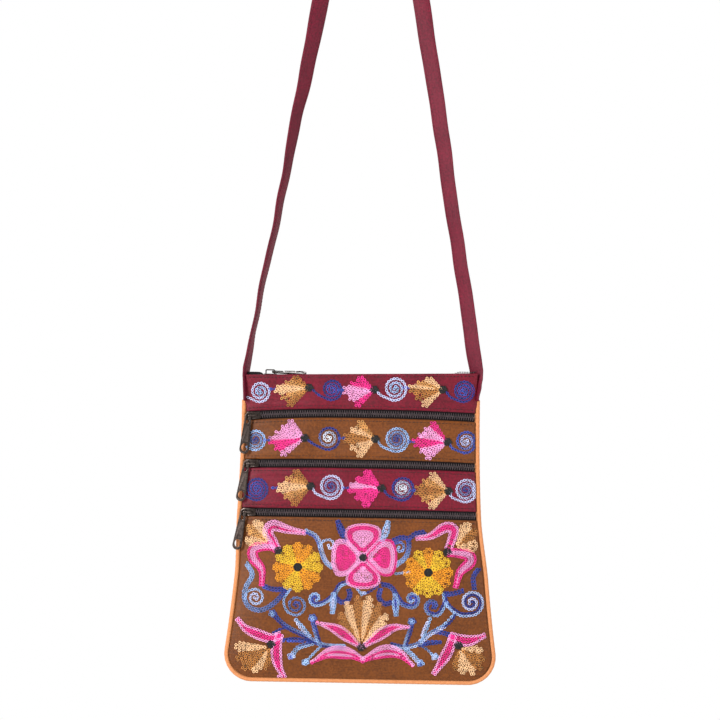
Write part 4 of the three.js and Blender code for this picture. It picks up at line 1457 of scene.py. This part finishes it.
def plate_mesh(outlines, low, high, bevel):
    """A flat plate with holes and soft edges, from its outline and the outlines of its holes."""
    curve = bpy.data.curves.new("plate", "CURVE")
    curve.dimensions = "2D"
    curve.fill_mode = "BOTH"
    curve.extrude = (high - low) / 2 - bevel
    curve.bevel_depth = bevel
    curve.bevel_resolution = BEVEL_STEPS
    curve.offset = -bevel
    for outline in outlines:
        spline = curve.splines.new("POLY")
        spline.points.add(len(outline) - 1)
        for point, (x, y) in zip(spline.points, outline):
            point.co = (x, y, 0, 1)
        spline.use_cyclic_u = True
    holder = bpy.data.objects.new("plate", curve)
    mesh = bpy.data.meshes.new_from_object(holder)
    bpy.data.objects.remove(holder)
    bpy.data.curves.remove(curve)
    mesh.transform(Matrix.Translation((0, 0, (low + high) / 2)))
    return mesh


def arc(x, y, radius, start, end, stretch=1.0):
    turn = np.linspace(start, end, ROUND_STEPS)
    return np.stack([x + radius * np.cos(turn), y + stretch * radius * np.sin(turn)], axis=-1)


def tapered_outline(top_y, top_radius, foot_y, foot_radius):
    """Two round ends joined by straight sides."""
    head = arc(0, top_y, top_radius, 0, math.pi)
    foot = arc(0, foot_y, foot_radius, math.pi, math.tau)
    return np.concatenate([head, foot])


def wing_outline(wing):
    corner = WING_CORNER
    quarter = math.pi / 2
    return np.concatenate([
        arc(wing.end - corner, corner - wing.tail, corner, -quarter, 0),
        arc(wing.end - corner, wing.tail - corner, corner, 0, quarter),
        arc(wing.start + corner, wing.nose - corner, corner, quarter, 2 * quarter),
        arc(wing.start + corner, corner - wing.nose, corner, 2 * quarter, 3 * quarter),
    ])


def box_outline(low_x, high_x, low_y, high_y):
    return np.array([(low_x, low_y), (high_x, low_y), (high_x, high_y), (low_x, high_y)])


def squared(wave):
    """A wave with fuller crests, which makes a round section nearly square."""
    return np.sign(wave) * np.abs(wave) ** BRIDGE_SQUARENESS


def bridge_mesh():
    """The arched bridge that holds the pull, from leg to leg."""
    quarter = math.pi / 2
    top = BRIDGE_MIDDLE - BRIDGE_BEND
    left = arc(LEFT_LEG + BRIDGE_BEND, top, BRIDGE_BEND, 2 * quarter, quarter)
    right = arc(RIGHT_LEG - BRIDGE_BEND, top, BRIDGE_BEND, quarter, 0)
    foot = UPPER_WING.high - BRIDGE_HALF_THICKNESS
    line = np.concatenate([[(LEFT_LEG, foot)], left, right, [(RIGHT_LEG, foot)]])
    ahead = unit(np.gradient(line, axis=0))
    corner = np.linspace(0, math.tau, BRIDGE_SIDES, endpoint=False)
    flat = BRIDGE_HALF_THICKNESS * squared(np.cos(corner))
    wide = BRIDGE_HALF_WIDTH * squared(np.sin(corner))
    x = line[:, :1] - ahead[:, 1:] * flat[None, :]
    z = line[:, 1:] + ahead[:, :1] * flat[None, :]
    rings = np.stack([x, np.broadcast_to(wide[None, :], x.shape), z], axis=-1)
    points, faces = tube(rings)
    return solid_mesh("bridge", points, faces)


def slider_meshes():
    """The parts of a slider: two wings, the post and the two flanges between them, and the bridge."""
    wings = (UPPER_WING, LOWER_WING)
    meshes = [plate_mesh([wing_outline(wing)], wing.low, wing.high, SOFT_EDGE) for wing in wings]
    slope_right(meshes[0], lambda y: UPPER_WING.end - WING_CORNER)
    post = box_outline(POST_START, POST_END, -POST_WIDTH / 2, POST_WIDTH / 2)
    meshes.append(plate_mesh([post], LOWER_WING.low + SOFT_EDGE, UPPER_WING.high - SOFT_EDGE, SOFT_EDGE))
    for low, high in ((FLANGE_INSIDE, FLANGE_OUTSIDE), (-FLANGE_OUTSIDE, -FLANGE_INSIDE)):
        flange = box_outline(FLANGE_START, FLANGE_END, low, high)
        meshes.append(plate_mesh([flange], FLANGE_LOW, UPPER_WING.low + SOFT_EDGE, SOFT_EDGE / 2))
    meshes.append(bridge_mesh())
    return meshes


def slope_right(mesh, flat_edge):
    """Lowers what lies right of an edge, so that the right rim slopes down."""
    for vertex in mesh.vertices:
        beyond = vertex.co.x - flat_edge(vertex.co.y)
        if beyond > 0:
            vertex.co.z -= RIM_SLOPE * beyond


def pull_meshes(pull_length):
    """The pull tab, hanging along -Y from its eye: a plate and a rim round its sunk face."""
    outline = tapered_outline(0, PULL_EYE, PULL_FOOT - pull_length, PULL_FOOT)
    window = np.concatenate([arc(0, 0, WINDOW_RADIUS, 0, math.pi),
                             [(-WINDOW_RADIUS, -WINDOW_LENGTH), (WINDOW_RADIUS, -WINDOW_LENGTH)]])
    hole_y = HOLE_FROM_FOOT - pull_length
    hole = arc(0, hole_y, HOLE_HALF_WIDTH, 0, math.tau, HOLE_HALF_LENGTH / HOLE_HALF_WIDTH)[:-1]
    recess_end = -hole_y - RECESS_FROM_HOLE

    def inside_rim(y):
        return PULL_EYE - (PULL_FOOT - PULL_EYE) * y / (pull_length - PULL_FOOT) - RECESS_RIM

    first, last = inside_rim(-RECESS_START), inside_rim(-recess_end)
    recess = np.array([(-first, -RECESS_START), (first, -RECESS_START), (last, -recess_end),
                       (-last, -recess_end)])
    high = PULL_LOW + PULL_THICKNESS
    sunk = high - RECESS_DEPTH
    rim = plate_mesh([outline, window, hole, recess], sunk - SOFT_EDGE, high, SOFT_EDGE)
    slope_right(rim, inside_rim)
    return [plate_mesh([outline, window, hole], PULL_LOW, sunk, SOFT_EDGE), rim]


def metal_piece(name, meshes, matrix, body, node):
    """One metal piece from its parts, moved to its place."""
    whole = bmesh.new()
    for mesh in meshes:
        whole.from_mesh(mesh)
        bpy.data.meshes.remove(mesh)
    bmesh.ops.remove_doubles(whole, verts=whole.verts, dist=WELD_DISTANCE)
    bmesh.ops.recalc_face_normals(whole, faces=whole.faces)
    mesh = bpy.data.meshes.new(name)
    whole.to_mesh(mesh)
    whole.free()
    mesh.polygons.foreach_set("use_smooth", [True] * len(mesh.polygons))
    mesh.set_sharp_from_angle(angle=METAL_CREASE)
    mesh.transform(matrix)
    tint = colours()
    material = plated_material(
        "gunmetal_plating", tint.gunmetal, tint.gunmetal_dark, METAL_ROUGHNESS, metallic=1.0)
    return finish_piece(new_object(name, mesh), body, "zip_metal", material, node)


ZipMetal = namedtuple("ZipMetal", "zip_name slider pull")


def zip_metal():
    """Each zip's name, its slider's place and its pull's place."""
    places = []
    for zip_line in ZIPS:
        slider = zip_frame(zip_line, slider_across(zip_line))
        pull = slider @ Matrix.Translation((LEFT_LEG, 0, 0)) @ Matrix.Rotation(FRONT_PULL_LEAN, 4, "Z")
        places.append(ZipMetal(zip_line.name, slider, pull))
    slider = Matrix.Translation((TOP_SLIDER_X, 0, POUCH_TOP - TOP_ZIP_DEPTH))
    middle = PULL_LOW + PULL_THICKNESS / 2
    cross_bar = (PULL_EYE + WINDOW_RADIUS) / 2
    held = slider @ Matrix.Translation((TOP_PULL_X, 0, middle + TOP_PULL_RAISE))
    leaning = held @ Matrix.Rotation(TOP_PULL_DROOP, 4, "Y") @ Matrix.Rotation(TOP_PULL_ROLL, 4, "X")
    pull = leaning @ Matrix.Translation((cross_bar, 0, -middle)) @ Matrix.Rotation(math.pi / 2, 4, "Z")
    return places + [ZipMetal("top_zip", slider, pull)]


# Embroidery

# The path's step and the link's reach in chart squares, the spiral's entry in degrees, its bend in radii
PATH_STEP = 0.8
FEWEST_STEPS = 3
SPIRAL_ENTRY = 105
SPIRAL_BEND = (-1.2, 0.55)
LINK_REACH = 4
CURVE_STEPS = 14
TINT_SPREAD = 0.18
EDGE_MARGIN = 1.1 * MM
SIDE_REACH = 0.99
TURN_STEPS = 40
FEWEST_TURN_STEPS = 12


def resampled(points):
    """Even steps along a chart line."""
    run = running_length(points)
    steps = max(FEWEST_STEPS, round(run[-1] / PATH_STEP) + 1)
    along = np.linspace(0, run[-1], steps)
    return np.stack([np.interp(along, run, points[:, k]) for k in (0, 1)], axis=-1)


def smooth_line(points):
    """A smooth chart line through a few points."""
    points = np.array(points, float)
    ends = np.vstack([2 * points[0] - points[1], points, 2 * points[-1] - points[-2]])
    t = np.linspace(0, 1, CURVE_STEPS, endpoint=False)[:, None]
    pieces = []
    for a, b, c, d in zip(ends, ends[1:], ends[2:], ends[3:]):
        bend = (c - a) * t + (2 * a - 5 * b + 4 * c - d) * t ** 2 + (3 * b - a - 3 * c + d) * t ** 3
        pieces.append(b + bend / 2)
    return resampled(np.vstack(pieces + [points[-1:]]))


def sideways(line):
    """Directions to the left of a chart line."""
    ahead = unit(np.gradient(line, axis=0))
    return np.stack([-ahead[:, 1], ahead[:, 0]], axis=-1)


def winding(middle, start, turns, end_radius=CURL_END):
    """A line that winds from a start point in to a middle. Negative turns run against the clock."""
    middle = np.array(middle, float)
    arm = np.array(start, float) - middle
    radius = np.linalg.norm(arm)
    first = math.atan2(arm[1], arm[0])
    t = np.linspace(0, 1, max(FEWEST_TURN_STEPS, int(abs(turns) * TURN_STEPS)))
    reach = radius + (end_radius - radius) * t
    angle = first + turns * math.tau * t
    return middle + np.stack([np.cos(angle), np.sin(angle)], axis=-1) * reach[:, None]


# Rows with less room than this beside others lie sunk and darkened with painted shade, the others raised
CROWDED = 0.72 * ROW
SHORTEST_ROW = 3
RAISED = 0.2 * MM
SUNK = -0.18 * MM
SUNK_SHADE = 0.86


def uncrowded(rows):
    """Rows of one shape. Where a row has no room beside those before it, it lies below, in their shade."""
    placed = np.full((1, 2), np.inf)
    kept = []
    for row in rows:
        room = np.linalg.norm(row.points[:, None] - placed[None], axis=-1).min(axis=1)
        free = room >= CROWDED
        cuts = np.flatnonzero(np.diff(free)) + 1
        for points, state in zip(np.split(row.points, cuts), np.split(free, cuts)):
            if len(points) >= SHORTEST_ROW:
                lift, shade = (RAISED, 1.0) if state[0] else (SUNK, SUNK_SHADE)
                kept.append(Row(points, row.threads, lift, shade))
        placed = np.vstack([placed, row.points[free]])
    return kept


def from_middle(count):
    """Places of a petal's rows, as shares of its half width, the middle ones first."""
    return sorted(np.linspace(1 / count - 1, 1 - 1 / count, count), key=abs)


def spiral_rows(spiral):
    """A tail that sweeps under the spiral and winds in against the clock."""
    middle = np.array([spiral.x, spiral.y])
    entry = math.radians(SPIRAL_ENTRY)
    start = middle + spiral.radius * np.array([math.cos(entry), math.sin(entry)])
    bend = middle + spiral.radius * np.array(SPIRAL_BEND)
    tail = smooth_line([spiral.tail, bend, start])
    line = resampled(np.vstack([tail[:-1], winding(middle, start, -spiral.turns)]))
    return [Row(line, (spiral.outer, spiral.outer, spiral.inner))]


def disc_line(x, y, radius, row):
    """A line that winds in over a small round, in turns a row apart."""
    start = (x + radius - ROW / 2, y)
    return resampled(winding((x, y), start, -radius / row))


def bud_rows(bud):
    return [Row(disc_line(bud.x, bud.y, bud.radius, ROW), (bud.outer, bud.inner))]


def eye_rows(x, y):
    """A black eye, worked close over the stitches round it."""
    return [Row(disc_line(x, y, DOT_RADIUS, DOT_ROW), ("black", "black"), DOT_LIFT)]


FEWEST_FAN_ROWS = 3
# Where a fan's rows start and end, as shares of the way from its dot to its edge
FAN_BASE = 0.14
FAN_TIP = 1.05
FAN_SCALLOP = 0.23


def fan_rows(fan):
    """Petals that spread from a dot to a scalloped edge, filled with rows from the dot outwards."""
    apex = np.array(fan.dot, float)
    edge = np.array(fan.edge, float)
    run = running_length(edge)
    petals = fan.petals.split()
    count = max(FEWEST_FAN_ROWS, round(run[-1] / len(petals) / ROW))
    rows = []
    for share in from_middle(count):
        for order, thread in enumerate(petals):
            along = (order + (share + 1) / 2) / len(petals) * run[-1]
            tip = np.array([np.interp(along, run, edge[:, axis]) for axis in (0, 1)])
            reach = np.array([FAN_BASE, FAN_TIP - FAN_SCALLOP * share ** 2])
            rows.append(Row(resampled(apex + (tip - apex) * reach[:, None]), (thread, thread)))
    return uncrowded(rows)


DAISY_ROWS = 4
DAISY_BASE = 6
DAISY_SPAN = 0.9
DAISY_ROUND = 0.16


def daisy_rows(daisy):
    """Round-ended petals about an eye, each filled with rows from the eye outwards."""
    rows = []
    petals = daisy.threads.split()
    for share in from_middle(DAISY_ROWS):
        for order, thread in enumerate(petals):
            angle = math.tau * (order + DAISY_SPAN * share / 2) / len(petals) - math.pi / 2
            out = np.array([math.cos(angle), math.sin(angle)])
            end = daisy.reach * (1 - DAISY_ROUND * share ** 2) - ROW / 2
            line = np.array(daisy.middle) + out * np.array([DAISY_BASE, end])[:, None]
            rows.append(Row(resampled(line), (thread, thread)))
    return uncrowded(rows)


FEWEST_LOOPS = 2
LOOP_INSET = 0.45


def petal_rows(petal):
    """A petal of the big flower, filled with loops, one inside the other, round its heart."""
    heading = math.radians(petal.angle)
    threads = petal.threads.split()
    out = np.array([math.cos(heading), math.sin(heading)])
    beside = np.array([-out[1], out[0]])
    side = np.array(BLUNT_PETAL) * (petal.reach, petal.half_width)
    loop = smooth_line(np.vstack([side, side[-2::-1] * (1, -1), side[:1]]))
    heart = np.array([BLUNT_HEART * petal.reach, 0.0])
    count = max(FEWEST_LOOPS, round(petal.half_width / PETAL_ROW))
    rows = []
    for order in range(count):
        ring = heart + (loop - heart) * (1 - (order + LOOP_INSET) / count)
        if order == count - 1:
            ring = heart + np.array([[-HEART_ROW, 0], [HEART_ROW, 0]])
        line = np.array(FLOWER) + ring[:, :1] * out + ring[:, 1:] * beside
        thread = threads[min(order, len(threads) - 1)]
        rows.append(Row(resampled(line), (thread, thread)))
    return uncrowded(rows)


# Width of a ribbon at its base and its tip, as shares of its full width, and where it is widest
Taper = namedtuple("Taper", "base tip")
HORN_TAPER = Taper(0.7, 0.35)
LILY_TAPER = Taper(0.3, 0.15)
LEAF_TAPER = Taper(0.5, 0.5)
RIBBON_WIDEST = 0.45


def ribbon_rows(ribbon, taper):
    """Rows side by side along a line, drawn together at its base and its tip."""
    line = smooth_line(ribbon.points)
    share = np.linspace(0, 1, len(line))
    width = taper.base + (1 - taper.base) * smoothstep(0.0, RIBBON_WIDEST, share)
    width = width * (1 - (1 - taper.tip) * smoothstep(RIBBON_WIDEST, 1.0, share))
    normal = sideways(line)
    threads = ribbon.threads.split()
    inside = ribbon.half_width - ROW / 2
    places = dict(zip(np.linspace(-inside, inside, len(threads)), threads))
    rows = []
    for offset in sorted(places, key=abs, reverse=True):
        line_beside = resampled(line + normal * (offset * width)[:, None])
        rows.append(Row(line_beside, (places[offset], places[offset])))
    return uncrowded(rows)


PAIR_ROW = 2.5
HALF_STITCH = 2


def tendril_rows(tendril):
    """One or more rows along a stem, which may end in a curl."""
    line = smooth_line(tendril.points)
    if tendril.curl:
        x, y, turns = tendril.curl
        line = resampled(np.vstack([line, winding((x, y), line[-1], turns)[1:]]))
    normal = sideways(line)
    pairs = [pair.split(">") for pair in tendril.threads.split()]
    rows = []
    for order, pair in enumerate(pairs):
        offset = PAIR_ROW * (order - (len(pairs) - 1) / 2)
        late = HALF_STITCH * (order % 2)
        rows.append(Row(resampled(line + normal * offset)[late:], tuple(pair)))
    return rows


def band_rows(name):
    rows = []
    for spiral in BAND_SPIRALS[name]:
        rows += spiral_rows(spiral)
    for fan in BAND_FANS[name]:
        rows += fan_rows(fan)
        tip = np.array(fan.edge[1], float)
        rows.append(Row(resampled(np.array([tip - (LINK_REACH, 0), tip])), ("blue", "blue")))
    for fan in BAND_FANS[name]:
        rows += eye_rows(*fan.dot)
    return rows


def flower_rows():
    rows = []
    for petal in FLOWER_PETALS:
        rows += petal_rows(petal)
    for daisy in DAISIES:
        rows += daisy_rows(daisy)
    for horn in HORNS:
        rows += ribbon_rows(horn, HORN_TAPER)
    for leaf in LILY_LEAVES:
        rows += ribbon_rows(leaf, LILY_TAPER)
    return rows


def sprig_rows():
    rows = []
    for fan in PANEL_FANS:
        rows += fan_rows(fan)
    for tendril in TENDRILS:
        rows += tendril_rows(tendril)
    for leaf in BLUE_LEAVES:
        rows += ribbon_rows(leaf, LEAF_TAPER)
    for bud in BUDS:
        rows += bud_rows(bud)
    for x, y in PANEL_DOTS:
        rows += eye_rows(x, y)
    return rows


def on_face(chart):
    """Face positions in metres, across and down, of chart squares."""
    turned_x = chart[:, 0] * math.cos(CHART_TURN) + chart[:, 1] * math.sin(CHART_TURN)
    turned_y = chart[:, 1] * math.cos(CHART_TURN) - chart[:, 0] * math.sin(CHART_TURN)
    return turned_x * CHART_SQUARE, turned_y * CHART_SQUARE


def stitch_paths(name, rows, seed):
    """Chart rows laid on a cloth piece, each point with its own slight change of tint."""
    dice = np.random.default_rng(seed)
    palette = bpy.context.scene.thread_colours
    paths = []
    for row in rows:
        x, depth = on_face(row.points)
        across = across_at(x, depth)
        inside = np.abs(across) < SIDE_REACH
        if inside.sum() < SHORTEST_ROW:
            continue
        across, depth = across[inside], depth[inside]
        upper, lower = panel_edges(name, across)
        depth = np.clip(depth, upper + EDGE_MARGIN, lower - EDGE_MARGIN)
        x = x_at(across, depth)
        tints = np.array([getattr(palette, thread)[:] for thread in row.threads])
        places = np.linspace(0, 1, len(tints))
        along = np.linspace(0, 1, len(x))
        tint = np.stack([np.interp(along, places, tints[:, k]) for k in range(3)], axis=-1)
        strength = 1 + dice.normal(0, TINT_SPREAD, (len(x), 1))
        # Each stitch's tone changes at random, and a sunk row's tint is darkened further by painted shade
        tint = tint * np.minimum(strength, 1 / tint.max(axis=1, keepdims=True)) * row.shade
        points = cloth_surface(name, x, depth, row.lift)
        paths.append(Path(points, cloth_normal(name, x, depth), np.clip(tint, 0, 1)))
    return paths


EMBROIDERY_SEED = 21
STITCH_SPREAD = 0.08
EMBROIDERY = (
    ("top_band_embroidery", "top_band", lambda: band_rows("top_band")),
    ("second_band_embroidery", "second_band", lambda: band_rows("second_band")),
    ("third_band_embroidery", "third_band", lambda: band_rows("third_band")),
    ("main_panel_flowers", "main_panel", flower_rows),
    ("main_panel_sprigs", "main_panel", sprig_rows),
)


def embroidery_piece(name, panel, rows, seed):
    size = sizes()
    link = chain_link_mesh(size.chain_stitch_length, size.chain_stitch_width, size.chain_thread)
    material = thread_material("rayon_thread")
    paths = stitch_paths(panel, rows, seed)
    piece = along_paths(name, paths, link, size.chain_stitch_length, STITCH_SPREAD, seed, material)
    return finish_piece(piece, "bag", "embroidery", material)


HEM_STITCH_REACH = 0.97
HEM_STITCH_POINTS = 200


def hem_paths(panel, tint):
    """Topstitch lines along the hems of a cloth piece."""
    inset = sizes().hem_stitch_inset
    across = np.linspace(-HEM_STITCH_REACH, HEM_STITCH_REACH, HEM_STITCH_POINTS)
    upper, lower = panel_edges(panel.name, across)
    lines = [upper + inset] + ([lower - inset] if panel.lower_hem else [])
    paths = []
    for depth in lines:
        x = x_at(across, depth)
        points = cloth_surface(panel.name, x, depth, 0)
        paths.append(Path(points, cloth_normal(panel.name, x, depth), np.tile(tint, (len(x), 1))))
    return paths


TOPSTITCH_SEED = 5
TOPSTITCH_SPREAD = 0.06
STITCH_SHADE = 0.2
STRAP_STITCH_SHADE = 0.55


def topstitch_piece(name, slot, paths):
    size = sizes()
    stitch = topstitch_mesh(size.topstitch_length, size.topstitch_thread)
    material = thread_material("sewing_thread")
    piece = along_paths(
        name, paths, stitch, size.topstitch_length, TOPSTITCH_SPREAD, TOPSTITCH_SEED, material)
    return finish_piece(piece, "bag", slot, material)


# Stage

# Lengths of the stage in metres, powers of the lamps in watts
CAMERA_DISTANCE = 2.2
VIEW_WIDTH = 0.576
VIEW_MIDDLE = (-1.4 * MM, -468.9 * MM)
VIEW_ROLL = math.radians(-1)
SENSOR_WIDTH = 36
FLOOR_DROP = 0.16
FLOOR_RADIUS = 40
FLOOR_ROUGHNESS = 0.8
WORLD_LIGHT = 0.62
WORLD_SHOWN = 1.0
Lamp = namedtuple("Lamp", "name place size power")
LAMPS = (
    Lamp("key_light", (-2.2, -2.1, 0.3), 0.9, 118),
    Lamp("fill_light", (2.6, -1.6, -0.1), 1.8, 46),
    Lamp("back_light", (0.6, 2.6, 1.0), 1.8, 35),
)


def make_floor(height):
    signs = ((-1, -1), (1, -1), (1, 1), (-1, 1))
    corners = [(x * FLOOR_RADIUS, y * FLOOR_RADIUS, height) for x, y in signs]
    mesh = bpy.data.meshes.new("floor")
    mesh.from_pydata(corners, [], [(0, 1, 2, 3)])
    material, tree, shader = new_material("pale_floor")
    shader.inputs["Base Color"].default_value = opaque(colours().floor)
    shader.inputs["Roughness"].default_value = FLOOR_ROUGHNESS
    white = add_node(tree, "ShaderNodeEmission")
    seen = add_node(tree, "ShaderNodeLightPath").outputs["Is Camera Ray"]
    shown = add_node(tree, "ShaderNodeMixShader", {0: seen, 1: shader.outputs[0], 2: white.outputs[0]})
    tree.links.new(shown.outputs[0], tree.nodes["Material Output"].inputs["Surface"])
    mesh.materials.append(material)
    new_object("floor", mesh)


def make_world(scene):
    """Even pale light from all round, shown as plain white behind the bag."""
    world = bpy.data.worlds.new("studio")
    scene.world = world
    world.use_nodes = True
    tree = world.node_tree
    background = tree.nodes["Background"]
    background.inputs["Color"].default_value = (1, 1, 1, 1)
    seen = add_node(tree, "ShaderNodeLightPath").outputs["Is Camera Ray"]
    strength = map_range(tree, seen, 0.0, 1.0, WORLD_LIGHT, WORLD_SHOWN)
    tree.links.new(strength, background.inputs["Strength"])


def make_lamp(lamp, aim):
    light = bpy.data.lights.new(lamp.name, "AREA")
    light.size = lamp.size
    light.energy = lamp.power
    holder = new_object(lamp.name, light)
    holder.location = lamp.place
    holder.rotation_euler = (aim - Vector(lamp.place)).to_track_quat("-Z", "Y").to_euler()


def make_camera(scene):
    """A level camera straight in front of the bag."""
    camera = bpy.data.cameras.new("camera")
    camera.sensor_width = SENSOR_WIDTH
    camera.lens = SENSOR_WIDTH * CAMERA_DISTANCE / VIEW_WIDTH
    camera_object = new_object("camera", camera)
    camera_object.location = (VIEW_MIDDLE[0], -CAMERA_DISTANCE, VIEW_MIDDLE[1])
    camera_object.rotation_euler = (math.pi / 2, VIEW_ROLL, 0)
    scene.camera = camera_object


# Operators

class BAG_OT_cloth(bpy.types.Operator):
    """Makes the four front pieces and the back of the pouch"""

    bl_idname = "bag.make_cloth"
    bl_label = "Cloth pieces"

    def execute(self, context):
        for panel in PANELS:
            panel_piece(panel)
        return {"FINISHED"}


class BAG_OT_piping(bpy.types.Operator):
    """Makes the orange corded edge"""

    bl_idname = "bag.make_piping"
    bl_label = "Piping"

    def execute(self, context):
        piping_piece()
        return {"FINISHED"}


class BAG_OT_strap(bpy.types.Operator):
    """Makes the long cloth strap"""

    bl_idname = "bag.make_strap"
    bl_label = "Strap"

    def execute(self, context):
        strap_piece()
        return {"FINISHED"}


class BAG_OT_tapes(bpy.types.Operator):
    """Makes the woven tapes of the four zips"""

    bl_idname = "bag.make_tapes"
    bl_label = "Zip tapes"

    def execute(self, context):
        for zip_line in ZIPS:
            front_tape(zip_line, zip_line.name + "_upper_tape", -1)
            front_tape(zip_line, zip_line.name + "_lower_tape", 1)
        top_tape("top_zip_front_tape", -1)
        top_tape("top_zip_back_tape", 1)
        return {"FINISHED"}


class BAG_OT_teeth(bpy.types.Operator):
    """Makes the nylon coil teeth of the four zips"""

    bl_idname = "bag.make_teeth"
    bl_label = "Zip teeth"

    def execute(self, context):
        for zip_line in ZIPS:
            teeth_piece(zip_line.name, front_teeth_path(zip_line))
        teeth_piece("top_zip", top_teeth_path())
        return {"FINISHED"}


class BAG_OT_sliders(bpy.types.Operator):
    """Makes the zip sliders with their bridges"""

    bl_idname = "bag.make_sliders"
    bl_label = "Sliders"

    def execute(self, context):
        for metal in zip_metal():
            node = metal.zip_name + "_slider"
            metal_piece(node + "_metal", slider_meshes(), metal.slider, "bag", node)
        return {"FINISHED"}


class BAG_OT_pulls(bpy.types.Operator):
    """Makes the pull tabs, each on the body that swings it"""

    bl_idname = "bag.make_pulls"
    bl_label = "Pulls"

    def execute(self, context):
        for metal in zip_metal():
            node = metal.zip_name + "_pull"
            body = metal.zip_name.replace("zip", "pull")
            pull_length = TOP_PULL_LENGTH if metal.zip_name == "top_zip" else FRONT_PULL_LENGTH
            metal_piece(node + "_metal", pull_meshes(pull_length), metal.pull, body, node)
        return {"FINISHED"}


class BAG_OT_topstitching(bpy.types.Operator):
    """Makes the sewn lines along the hems and the strap"""

    bl_idname = "bag.make_topstitching"
    bl_label = "Topstitching"

    def execute(self, context):
        tint = colours()
        for slot, cloth in (("maroon_cloth", tint.maroon_dark), ("brown_cloth", tint.brown_dark)):
            shade = [value * STITCH_SHADE for value in cloth]
            paths = [path for panel in PANELS if panel.slot == slot for path in hem_paths(panel, shade)]
            if slot == "maroon_cloth":
                paths += strap_stitch_paths([value * STRAP_STITCH_SHADE for value in tint.strap])
            topstitch_piece(slot.replace("cloth", "topstitching"), slot, paths)
        return {"FINISHED"}


class BAG_OT_embroidery(bpy.types.Operator):
    """Makes the chain-stitch flowers, fans, spirals and tendrils"""

    bl_idname = "bag.make_embroidery"
    bl_label = "Embroidery"

    def execute(self, context):
        for order, (name, panel, rows) in enumerate(EMBROIDERY):
            embroidery_piece(name, panel, rows(), EMBROIDERY_SEED + order)
        return {"FINISHED"}


class BAG_OT_stage(bpy.types.Operator):
    """Makes the floor, the lights and the camera"""

    bl_idname = "bag.make_stage"
    bl_label = "Stage"

    def execute(self, context):
        scene = context.scene
        scene.view_settings.view_transform = "Standard"
        make_floor(CAD_BOX[0].z - FLOOR_DROP)
        make_world(scene)
        aim = Vector((VIEW_MIDDLE[0], 0, VIEW_MIDDLE[1]))
        for lamp in LAMPS:
            make_lamp(lamp, aim)
        make_camera(scene)
        return {"FINISHED"}


class BAG_PT_panel(bpy.types.Panel):
    """Lists the steps that make the bag, and what can be changed"""

    bl_idname = "BAG_PT_panel"
    bl_label = "Embroidered bag"
    bl_space_type = "VIEW_3D"
    bl_region_type = "UI"
    bl_category = "Bag"

    def draw(self, context):
        for operator in OPERATORS:
            self.layout.operator(operator.bl_idname)
        for name, kind in GROUPS.items():
            box = self.layout.box()
            for key in kind.__annotations__:
                box.prop(getattr(context.scene, name), key)


OPERATORS = (
    BAG_OT_stage,
    BAG_OT_cloth,
    BAG_OT_piping,
    BAG_OT_strap,
    BAG_OT_tapes,
    BAG_OT_teeth,
    BAG_OT_sliders,
    BAG_OT_pulls,
    BAG_OT_topstitching,
    BAG_OT_embroidery,
)
CLASSES = (BagSizes, BagColours, ThreadColours, *OPERATORS, BAG_PT_panel)
GROUPS = {"bag_sizes": BagSizes, "bag_colours": BagColours, "thread_colours": ThreadColours}


def register():
    for item in CLASSES:
        bpy.utils.register_class(item)
    for name, group in GROUPS.items():
        setattr(bpy.types.Scene, name, bpy.props.PointerProperty(type=group))


def unregister():
    for name in GROUPS:
        delattr(bpy.types.Scene, name)
    for item in reversed(CLASSES):
        bpy.utils.unregister_class(item)


def main():
    register()
    for operator in OPERATORS:
        group, step = operator.bl_idname.split(".")
        getattr(getattr(bpy.ops, group), step)()


if __name__ == "__main__":
    main()
